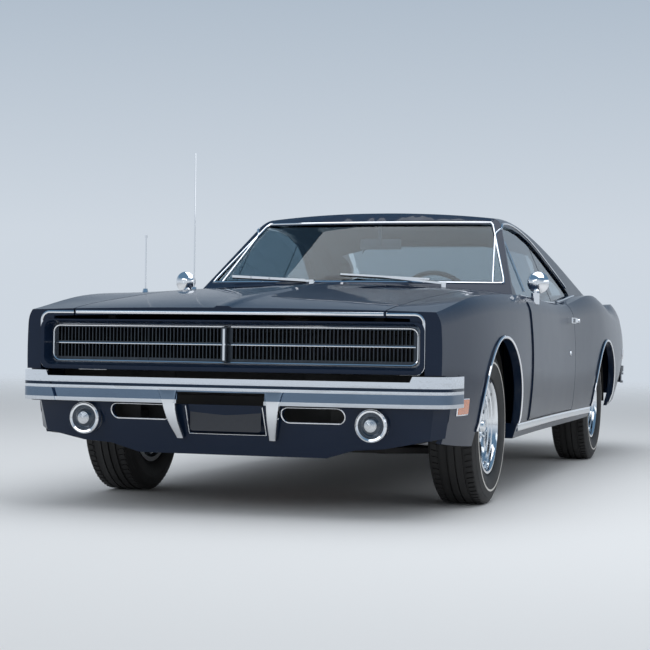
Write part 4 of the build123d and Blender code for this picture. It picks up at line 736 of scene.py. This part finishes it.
# The tail carries two long red lamps in bright frames, with a blank plate between them.
# Each lens is moulded with upright ribs over the lamp's reflector.
# The boot's lock is a plated barrel on the panel, above the plate.
RIBS_A_METRE = 420.0
red_lens = Finish("ribbed_red_lens", IOR=1.5, Coat_Weight=1.0, Coat_Roughness=0.03)
lens_ribs = (red_lens.along("X") * RIBS_A_METRE).wave()
red_lens.drive(Base_Color=red_lens.blend(lens_ribs, (0.16, 0.002, 0.003), (0.42, 0.010, 0.012)))
red_lens.haze(40.0, 0.1, 0.12)
red_lens.bump(lens_ribs, 0.5, 0.002)
dress(["tail_lamps"], red_lens, 0.001)
tail_skin = skin_of("tail_panel")
TAIL_LAMP_X = 0.4425
TAIL_LAMP_Z = 0.696
HALF_LONG = 0.2985
HALF_HIGH = 0.062
LAMP_CORNER = 0.033
lamp_frames = []
for _, side in SIDES:
    outline = []
    for along_x, along_z, start in ((1, 1, 0.0), (-1, 1, pi / 2), (-1, -1, pi), (1, -1, 1.5 * pi)):
        corner = (TAIL_LAMP_X + along_x * (HALF_LONG - LAMP_CORNER),
                  TAIL_LAMP_Z + along_z * (HALF_HIGH - LAMP_CORNER))
        outline += round_corner(corner, LAMP_CORNER, start, start + pi / 2, 6)
    lamp_frames.append(lay(tail_skin, [(side * x, 2.9, z) for x, z in outline], (0, -1, 0), PROUD))
bright_strip("tail_lamp_frames", lamp_frames, 0.006, 0.006, True)
BAR_Y = 2.5665
lamp_bars = [[(side * x, BAR_Y, z) for x in spread(0.175, 0.712, 6)]
             for _, side in SIDES for z in (0.6775, 0.7145)]
bright_strip("tail_lamp_bars", lamp_bars, 0.0025, 0.0025)
plate("rear_plate", (0.0, 2.5855, 0.640), 0.140, 0.068)
LOCK = ((0.0, 0.004), (0.008, 0.004), (0.009, 0.0055), (0.0125, 0.005), (0.0135, 0.0), (0.0, 0.0))
lock_spot = lay(tail_skin, [(0.0, 2.9, 0.790)], (0, -1, 0))
turned("boot_lock", LOCK, lock_spot, (0, 1, 0), 24)

# The boot's sides are lined with fibreboard, which hides the inner faces of the quarter panels.
# Each panel is a flat black board with a turned edge, clipped to the body along its top.
fibreboard = Finish("fibreboard", Roughness=0.85)
fibres = fibreboard.noise(70.0, 6.0)
fibreboard.drive(Base_Color=fibreboard.blend(fibres, (0.012, 0.012, 0.013), (0.032, 0.030, 0.028)))
fibreboard.bump(fibres, 0.4, 0.001)
LINER_X = 0.608
for name, side in SIDES:
    liner = bmesh.new()
    add_block(liner, (0.003, 1.160, 0.368), (side * LINER_X, 1.908, 0.660))
    for height in (0.480, 0.842):
        bend_bar(liner, [(side * LINER_X, y, height) for y in spread(1.330, 2.486, 5)], 0.008, 0.008)
    settle(liner, f"boot_liner_{name}", fibreboard)

# The doors have a flap handle with a push button and a lock below it, all die-cast and plated.
# The round mirror is a spun bright cup on a stalk, with its glass facing back.
# Handle and mirror come from the frame; the lock and the mirror's glass are added.
dress(["door_chrome_left", "door_chrome_right"], chrome, 0.0012)
mirror_shell = Finish("mirror_shell", Metallic=0.6, Base_Color=(0.30, 0.33, 0.36))
mirror_shell.haze(30.0, 0.1, 0.4)
dress(["interior_mirror"], mirror_shell, 0.003)
mirror_glass = Finish("mirror_glass", Metallic=1.0, Base_Color=(0.75, 0.78, 0.80))
mirror_glass.haze(4.0, 0.01)
MIRROR_DISC = ((0.0, 0.0015), (0.047, 0.0012), (0.049, 0.0), (0.049, -0.002), (0.0, -0.002))
for name, side in SIDES:
    door_skin = skin_of(f"door_{name}")
    body = f"{name}_door"
    key = lay(door_skin, [(side * OUTSIDE, 0.120, 0.640)], (-side, 0, 0))
    turned(f"door_lock_{name}", LOCK, key, (side, 0, 0), 24, body=body)
    turned(f"mirror_glass_{name}", MIRROR_DISC, [(side * 0.917, -0.7635, 0.985)], (0, 1, 0), 40,
           mirror_glass, body)

# Each door is trimmed inside with a padded vinyl card, an armrest and a window winder.
# The card is board under foam, heat-sealed with upright pleats.
# The winder is die-cast and plated.
vinyl = Finish("black_vinyl", Specular_IOR_Level=0.4)
grain = vinyl.add("TexVoronoi", Vector=vinyl.place(), Scale=620.0)
vinyl.wear(7.0, 4.0, (0.012, 0.012, 0.014), (0.026, 0.026, 0.030), 0.2, 0.38)
vinyl.bump(grain, 0.3, 0.0006)
CARD_X = 0.7735
ARMREST = ((0.010, -0.36, 0.648), (0.034, -0.31, 0.652), (0.036, -0.02, 0.652), (0.010, 0.03, 0.648))
BOSS = ((0.0, 0.018), (0.012, 0.017), (0.016, 0.010), (0.017, 0.0), (0.0, 0.0))
KNOB = ((0.0, 0.024), (0.008, 0.022), (0.010, 0.010), (0.008, 0.0), (0.0, 0.0))
for name, side in SIDES:
    body = f"{name}_door"
    card = bmesh.new()
    add_block(card, (0.010, 0.900, 0.480), (side * (CARD_X - 0.002), -0.272, 0.640))
    round_off(card, card.edges[:], 0.003, 2)
    pleat_x = side * (CARD_X - 0.007)
    for y in spread(-0.68, 0.14, 14):
        bend_bar(card, [(pleat_x, y, 0.46), (pleat_x, y, 0.60)], 0.0025, 0.024)
    bend_bar(card, [(side * (CARD_X - 0.008), y, 0.60) for y in (-0.70, 0.165)], 0.003, 0.004)
    armrest = smooth_line([(side * (CARD_X - inward), y, z) for inward, y, z in ARMREST])
    bend_bar(card, armrest, 0.022, 0.020)
    settle(card, f"door_card_{name}", vinyl, body)
    winder = bmesh.new()
    lathe(winder, BOSS, (pleat_x, -0.43, 0.56), (-side, 0, 0), 24)
    crank = [(side * (CARD_X - 0.022), -0.43, 0.56), (side * (CARD_X - 0.028), -0.375, 0.505)]
    bend_bar(winder, crank, 0.004, 0.007)
    lathe(winder, KNOB, (side * (CARD_X - 0.026), -0.372, 0.502), (-side, 0, 0), 20)
    settle(winder, f"window_winder_{name}", chrome, body)

# The glass is thin, tempered or laminated, and tinted a dark blue-grey.
# The vent window in each door has its own bright frame.
# The vent's post leans back as the pane does.
glass = Finish("window_glass", Base_Color=(0.36, 0.45, 0.50), IOR=1.35, Transmission_Weight=1.0)
glass.haze(5.0, 0.01)
dress(["windshield", "rear_window", "quarter_glass", "door_glass_left", "door_glass_right"], glass)
VENT_FOOT = (-0.440, 0.952)
VENT_TOP = (-0.420, 1.235)
VENT_BRACE = ((-0.715, 0.985), (-0.60, 1.072), (-0.50, 1.152), (-0.42, 1.215))
for name, side in SIDES:
    pane_skin = skin_of(f"door_glass_{name}")
    post = [(side * OUTSIDE, y, z) for y, z in zip(spread(VENT_FOOT[0], VENT_TOP[0], 9),
                                                   spread(VENT_FOOT[1], VENT_TOP[1], 9))]
    brace = [(side * OUTSIDE, y, z) for y, z in VENT_BRACE]
    vent_lines = [lay(pane_skin, line, (-side, 0, 0), PROUD) for line in (post, smooth_line(brace, 1))]
    bright_strip(f"vent_frame_{name}", vent_lines, 0.004, 0.006, body=f"{name}_door")

# Two aerials stand on the right, a stub with a ball and the radio's whip.
# The wipers are thin spring steel arms with black rubber blades.
# Slots across the cowl let air in behind the hood.
dress(["aerials", "wipers"], chrome, 0.0008)
blade_rubber = Finish("blade_rubber", Base_Color=(0.011, 0.011, 0.012))
blade_rubber.haze(80.0, 0.2, 0.5)
BLADES = (((-0.220, -0.905, 0.984), (-0.636, -0.826, 1.006)),
          ((0.400, -0.856, 0.992), (-0.050, -0.868, 1.016)))
rubbers = bmesh.new()
for near, far in BLADES:
    bend_bar(rubbers, [near, far], 0.003, 0.006)
settle(rubbers, "wiper_rubbers", blade_rubber)
cowl_skin = skin_of("cowl")
cowl_black = Finish("cowl_slots", Base_Color=(0.006, 0.006, 0.007))
cowl_black.haze(60.0, 0.2, 0.5)
louvres = bmesh.new()
for y in (-0.981, -0.967, -0.953, -0.939):
    for start, end in ((-0.60, -0.215), (-0.175, 0.175), (0.215, 0.60)):
        slot = lay(cowl_skin, [(x, y, OUTSIDE) for x in spread(start, end, 12)], (0, 0, -1), -0.0004)
        bend_bar(louvres, slot, 0.0042, 0.0012)
settle(louvres, "cowl_louvres", cowl_black)

# The dashboard is a steel pressing with a padded top and a black instrument panel.
# Six round dials sit in front of the driver, with bright rings and white marks.
# The column carries a thin three-spoke wheel with a horn ring.
dash_plastic = Finish("dash_plastic")
dash_plastic.wear(30.0, 4.0, (0.010, 0.010, 0.011), (0.022, 0.022, 0.024), 0.25, 0.4)
dash_plastic.bump(dash_plastic.noise(500.0), 0.3, 0.0006)
dress(["dashboard", "parcel_shelf"], dash_plastic, 0.006)
wheel_plastic = Finish("hand_wheel_plastic", Coat_Weight=0.5, Base_Color=(0.012, 0.012, 0.013))
wheel_plastic.haze(40.0, 0.15, 0.25)
dress(["steering_wheel"], wheel_plastic, 0.002)
DIAL_LEAN = -0.33
dial_axis = Vector((0.0, cos(DIAL_LEAN), -sin(DIAL_LEAN))).normalized()
DIALS = ((0.235, 0.030), (0.310, 0.030), (0.400, 0.044), (0.505, 0.044), (0.590, 0.030), (0.655, 0.026))
dial_face = Finish("dial_face")
dial_marks = dial_face.add("TexVoronoi", Vector=dial_face.place(), Scale=170.0)
dial_face.drive(Base_Color=dial_face.blend(dial_marks.under(0.16), (0.008, 0.008, 0.009), (0.70, 0.70, 0.66)),
                Roughness=dial_marks * 0.1 + 0.3)
rings = bmesh.new()
faces = bmesh.new()
dash_skin = skin_of("dashboard")
for x, radius in DIALS:
    spot = dash_skin.ray_cast(Vector((x, -0.30, 0.845)), Vector((0.0, -1.0, 0.0)))[0]
    lathe(rings, ((radius, -0.010), (radius, 0.006), (radius + 0.004, 0.008), (radius + 0.006, 0.005),
                  (radius + 0.006, -0.010), (radius, -0.010)), spot, dial_axis, 32)
    lathe(faces, ((0.0, 0.003), (radius - 0.001, 0.003), (radius, 0.0), (0.0, -0.004)), spot, dial_axis, 32)
settle(rings, "dial_rings", chrome)
settle(faces, "dial_faces", dial_face)
COLUMN_AXIS = Vector((0.0, 0.913089, 0.407760))
COLUMN_FOOT = Vector((0.370, -0.750, 0.790))
HORN_PAD = ((0.0, 0.052), (0.018, 0.051), (0.026, 0.046), (0.028, 0.042), (0.0, 0.042))
HORN_RING = ((0.105, 0.030), (0.1075, 0.0325), (0.110, 0.030), (0.1075, 0.0275), (0.105, 0.030))
horn = bmesh.new()
lathe(horn, HORN_PAD, COLUMN_FOOT + COLUMN_AXIS * 0.162, COLUMN_AXIS, 32)
lathe(horn, HORN_RING, COLUMN_FOOT + COLUMN_AXIS * 0.160, COLUMN_AXIS, 48)
settle(horn, "horn_ring", chrome, "hand_wheel")
pedals = bmesh.new()
for x, wide in ((0.235, 0.05), (0.345, 0.09), (0.47, 0.045)):
    add_block(pedals, (wide, 0.014, 0.075), (x, -0.885, 0.415), -0.5)
    bend_bar(pedals, [(x, -0.895, 0.43), (x, -0.93, 0.60), (x, -0.955, 0.66)], 0.006, 0.006)
round_off(pedals, [edge for edge in pedals.edges if edge.calc_length() > 0.02], 0.002, 2)
settle(pedals, "pedals", blade_rubber)
GEAR_LEVER = ((0.0, 0.045), (0.012, 0.043), (0.021, 0.032), (0.022, 0.018), (0.013, 0.004), (0.006, 0.0),
              (0.006, -0.22), (0.0, -0.22))
turned("gear_lever", GEAR_LEVER, [(0.0, -0.38, 0.64)], (0.0, 0.12, 1.0), 24)

# The seats are foam on steel frames under black vinyl, two buckets in front and a bench behind.
# Each is sewn with lengthways channels between plain bolsters.
# The foam's swell is simulated as cloth under pressure, and the channels are pressed in after it.
SEAT_VOXEL = 0.012
SWELL = 0.016
CHANNEL_DEPTH = 0.006
CHANNEL_PITCH = 0.048


def foam_block(name, size, lean, centre):
    """A slightly small block of foam in its place, ready to swell."""
    mesh = bmesh.new()
    add_block(mesh, tuple(side - SWELL for side in size))
    round_off(mesh, mesh.edges[:], 0.028, 3)
    turn_and_move(mesh, mesh.verts, lean, "X", centre)
    piece = settle(mesh, name, vinyl, sharp=180)
    remesh = piece.modifiers.new("foam", "REMESH")
    remesh.mode = "VOXEL"
    remesh.voxel_size = SEAT_VOXEL
    take_shape(piece)
    return piece


def take_shape(piece):
    """Makes what a piece's modifiers show its own mesh, and clears them."""
    bpy.context.view_layer.update()
    shown = piece.evaluated_get(bpy.context.evaluated_depsgraph_get())
    data = bpy.data.meshes.new_from_object(shown)
    piece.modifiers.clear()
    old = piece.data
    piece.data = data
    bpy.data.meshes.remove(old)


def soften(piece):
    """Smooths a piece by one level of subdivision."""
    finer = piece.modifiers.new("smooth", "SUBSURF")
    finer.levels = 1
    finer.render_levels = 1


PRESSURE = 4.0
SWELL_FRAMES = 20
SEAM_WIDTH = 0.006
FRONT_BASE = ((0.410, 0.430, 0.115), -0.060, (0.370, -0.255, 0.390))
FRONT_BACK = ((0.400, 0.120, 0.440), -0.345, (0.370, 0.085, 0.655))
REAR_BASE = ((0.545, 0.400, 0.110), -0.055, (0.300, 0.590, 0.372))
REAR_BACK = ((0.545, 0.110, 0.400), -0.215, (0.300, 0.835, 0.610))
CUSHIONS = (("front_seat_base", FRONT_BASE), ("front_seat_back", FRONT_BACK), ("rear_seat_base", REAR_BASE),
            ("rear_seat_back", REAR_BACK))
cushions = [foam_block(f"{name}_left", *shape) for name, shape in CUSHIONS]
before = {}
for cushion in cushions:
    before[cushion.name] = [vert.co.copy() for vert in cushion.data.vertices]
    cloth = cushion.modifiers.new("swell", "CLOTH")
    cloth.settings.use_pressure = True
    cloth.settings.uniform_pressure_force = PRESSURE
    cloth.settings.effector_weights.gravity = 0.0
for step in range(1, SWELL_FRAMES + 1):
    bpy.context.scene.frame_set(step)
for cushion in cushions:
    take_shape(cushion)
    for vert, start in zip(cushion.data.vertices, before[cushion.name]):
        moved = vert.co - start
        if moved.length > SWELL:
            vert.co = start + moved * (SWELL / moved.length)
bpy.context.scene.frame_set(1)
for cushion, (name, (size, lean, centre)) in zip(cushions, CUSHIONS):
    flat = name.endswith("base")
    unlean = Matrix.Rotation(-lean, 3, "X")
    face = Matrix.Rotation(lean, 3, "X") @ (Vector((0, 0, -1)) if flat else Vector((0, 1, 0)))
    for vert in cushion.data.vertices:
        local = unlean @ (vert.co - Vector(centre))
        x = local.x / (size[0] / 2)
        outward = local.z if flat else -local.y
        near = local.y / (size[1] / 2) if flat else local.z / (size[2] / 2)
        if outward > 0.0 and abs(x) < 0.74 and abs(near) < 0.80:
            offset = (local.x / CHANNEL_PITCH) % 1.0 - 0.5
            vert.co += face * CHANNEL_DEPTH * exp(-(offset * CHANNEL_PITCH / SEAM_WIDTH) ** 2)
    soften(cushion)
    shade_smooth(cushion.data)
    twin_mesh = bmesh.new()
    twin_mesh.from_mesh(cushion.data)
    bmesh.ops.scale(twin_mesh, vec=(-1, 1, 1), verts=twin_mesh.verts)
    twin = settle(twin_mesh, f"{name}_right", vinyl, sharp=180)
    soften(twin)
    for piece in (cushion, twin):
        if name.startswith("front"):
            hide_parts("front_seats")
        else:
            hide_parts("rear_seat")
runners = bmesh.new()
for _, side in SIDES:
    for x in (0.20, 0.54):
        bend_bar(runners, [(side * x, y, 0.300) for y in spread(-0.42, -0.02, 3)], 0.012, 0.014)
        for y in (-0.38, -0.08):
            bend_bar(runners, [(side * x, y, 0.290), (side * x, y, 0.345)], 0.010, 0.010)
settle(runners, "seat_runners", chassis)

# The car stands on a plain pale floor that fades into a pale backdrop, bluer overhead.
# The light is soft: a large panel above, one along the car's left side and one ahead.
# Paint and chrome mirror the backdrop, and matt surfaces are lit by an even world.
FLOOR_FADE_START = 6.0
FLOOR_FADE_END = 22.0
SKY_LOW = (0.62, 0.68, 0.75)
SKY_HIGH = (0.12, 0.22, 0.34)
SOFT_LIGHT = (0.62, 0.64, 0.66)
floor_paint = Finish("studio_floor", Base_Color=(0.74, 0.76, 0.78), Roughness=0.8)
floor_x = floor_paint.along("X")
floor_y = floor_paint.along("Y")
fade = (floor_x ** 2.0 + floor_y ** 2.0) ** 0.5
shown = floor_paint.add("MapRange", {"interpolation_type": "SMOOTHSTEP"}, Value=fade, To_Min=1.0, To_Max=0.0,
                        From_Min=FLOOR_FADE_START, From_Max=FLOOR_FADE_END)
floor_paint.drive(Alpha=shown)
floor_mesh = bmesh.new()
bmesh.ops.create_grid(floor_mesh, x_segments=1, y_segments=1, size=40.0)
floor_data = bpy.data.meshes.new("studio_floor")
floor_mesh.to_mesh(floor_data)
floor_mesh.free()
floor = bpy.data.objects.new("studio_floor", floor_data)
floor.data.materials.append(floor_paint.material)
bpy.context.scene.collection.objects.link(floor)

world = bpy.data.worlds.new("studio")
bpy.context.scene.world = world
world.use_nodes = True
sky = world.node_tree
ramp = sky.nodes.new("ShaderNodeValToRGB")
for element, (place, colour) in zip(ramp.color_ramp.elements, ((0.53, SKY_LOW), (0.72, SKY_HIGH))):
    element.position = place
    element.color = (*colour, 1.0)
direction = sky.nodes.new("ShaderNodeTexCoord")
parts = sky.nodes.new("ShaderNodeSeparateXYZ")
sky.links.new(direction.outputs["Generated"], parts.inputs[0])
height = Wire(sky, parts.outputs[2]) * 0.5 + 0.5
sky.links.new(height.socket, ramp.inputs[0])
path = sky.nodes.new("ShaderNodeLightPath")
camera_ray, glossy_ray, clear_ray = [Wire(sky, path.outputs[f"Is {kind} Ray"])
                                     for kind in ("Camera", "Glossy", "Transmission")]
seen = camera_ray + glossy_ray + clear_ray
backdrop = sky.nodes.new("ShaderNodeMix")
backdrop.data_type = "RGBA"
backdrop.inputs[6].default_value = (*SOFT_LIGHT, 1.0)
sky.links.new(seen.socket, backdrop.inputs[0])
sky.links.new(ramp.outputs[0], backdrop.inputs[7])
sky.links.new(backdrop.outputs[2], sky.nodes["Background"].inputs[0])
sky.nodes["Background"].inputs[1].default_value = 1.0


def softbox(name, where, towards, size, power):
    """A rectangular lamp at one place, turned towards another."""
    data = bpy.data.lights.new(name, "AREA")
    data.shape = "RECTANGLE"
    data.size, data.size_y = size
    data.energy = power
    lamp = bpy.data.objects.new(name, data)
    lamp.location = where
    lamp.rotation_euler = (Vector(towards) - Vector(where)).to_track_quat("-Z", "Y").to_euler()
    bpy.context.scene.collection.objects.link(lamp)


softbox("roof_light", (0.5, -1.0, 4.6), (0.0, -0.3, 0.0), (3.6, 7.0), 150.0)
softbox("side_light", (6.0, -2.0, 2.4), (0.0, -0.5, 0.7), (7.0, 1.2), 26.0)
softbox("front_light", (-3.0, -8.0, 3.0), (0.0, -1.5, 0.6), (4.5, 1.2), 34.0)

# The camera stands low in front of the car's left headlamp, as in the photograph.
# Its lens is a moderate tele, so the car's lines stay nearly parallel.
EYE = (2.37833, -8.79106, 0.71051)
YAW = 0.30641
PITCH = -0.00706
ROLL = 0.01272
FOCAL_PIXELS = 1675.68
FRAME_PIXELS = 650.0
SENSOR = 36.0

camera_data = bpy.data.cameras.new("camera")
camera_data.sensor_width = SENSOR
camera_data.lens = SENSOR * FOCAL_PIXELS / FRAME_PIXELS
camera_data.clip_end = 200.0
camera = bpy.data.objects.new("camera", camera_data)
ahead = Vector((-sin(YAW) * cos(PITCH), cos(YAW) * cos(PITCH), -sin(PITCH)))
level_right = ahead.cross(Vector((0.0, 0.0, 1.0))).normalized()
level_up = level_right.cross(ahead)
right = cos(ROLL) * level_right + sin(ROLL) * level_up
up = -sin(ROLL) * level_right + cos(ROLL) * level_up
camera.matrix_world = Matrix.Translation(EYE) @ Matrix((right, up, -ahead)).transposed().to_4x4()
bpy.context.scene.collection.objects.link(camera)
bpy.context.scene.camera = camera

bpy.context.scene.view_settings.view_transform = "Standard"
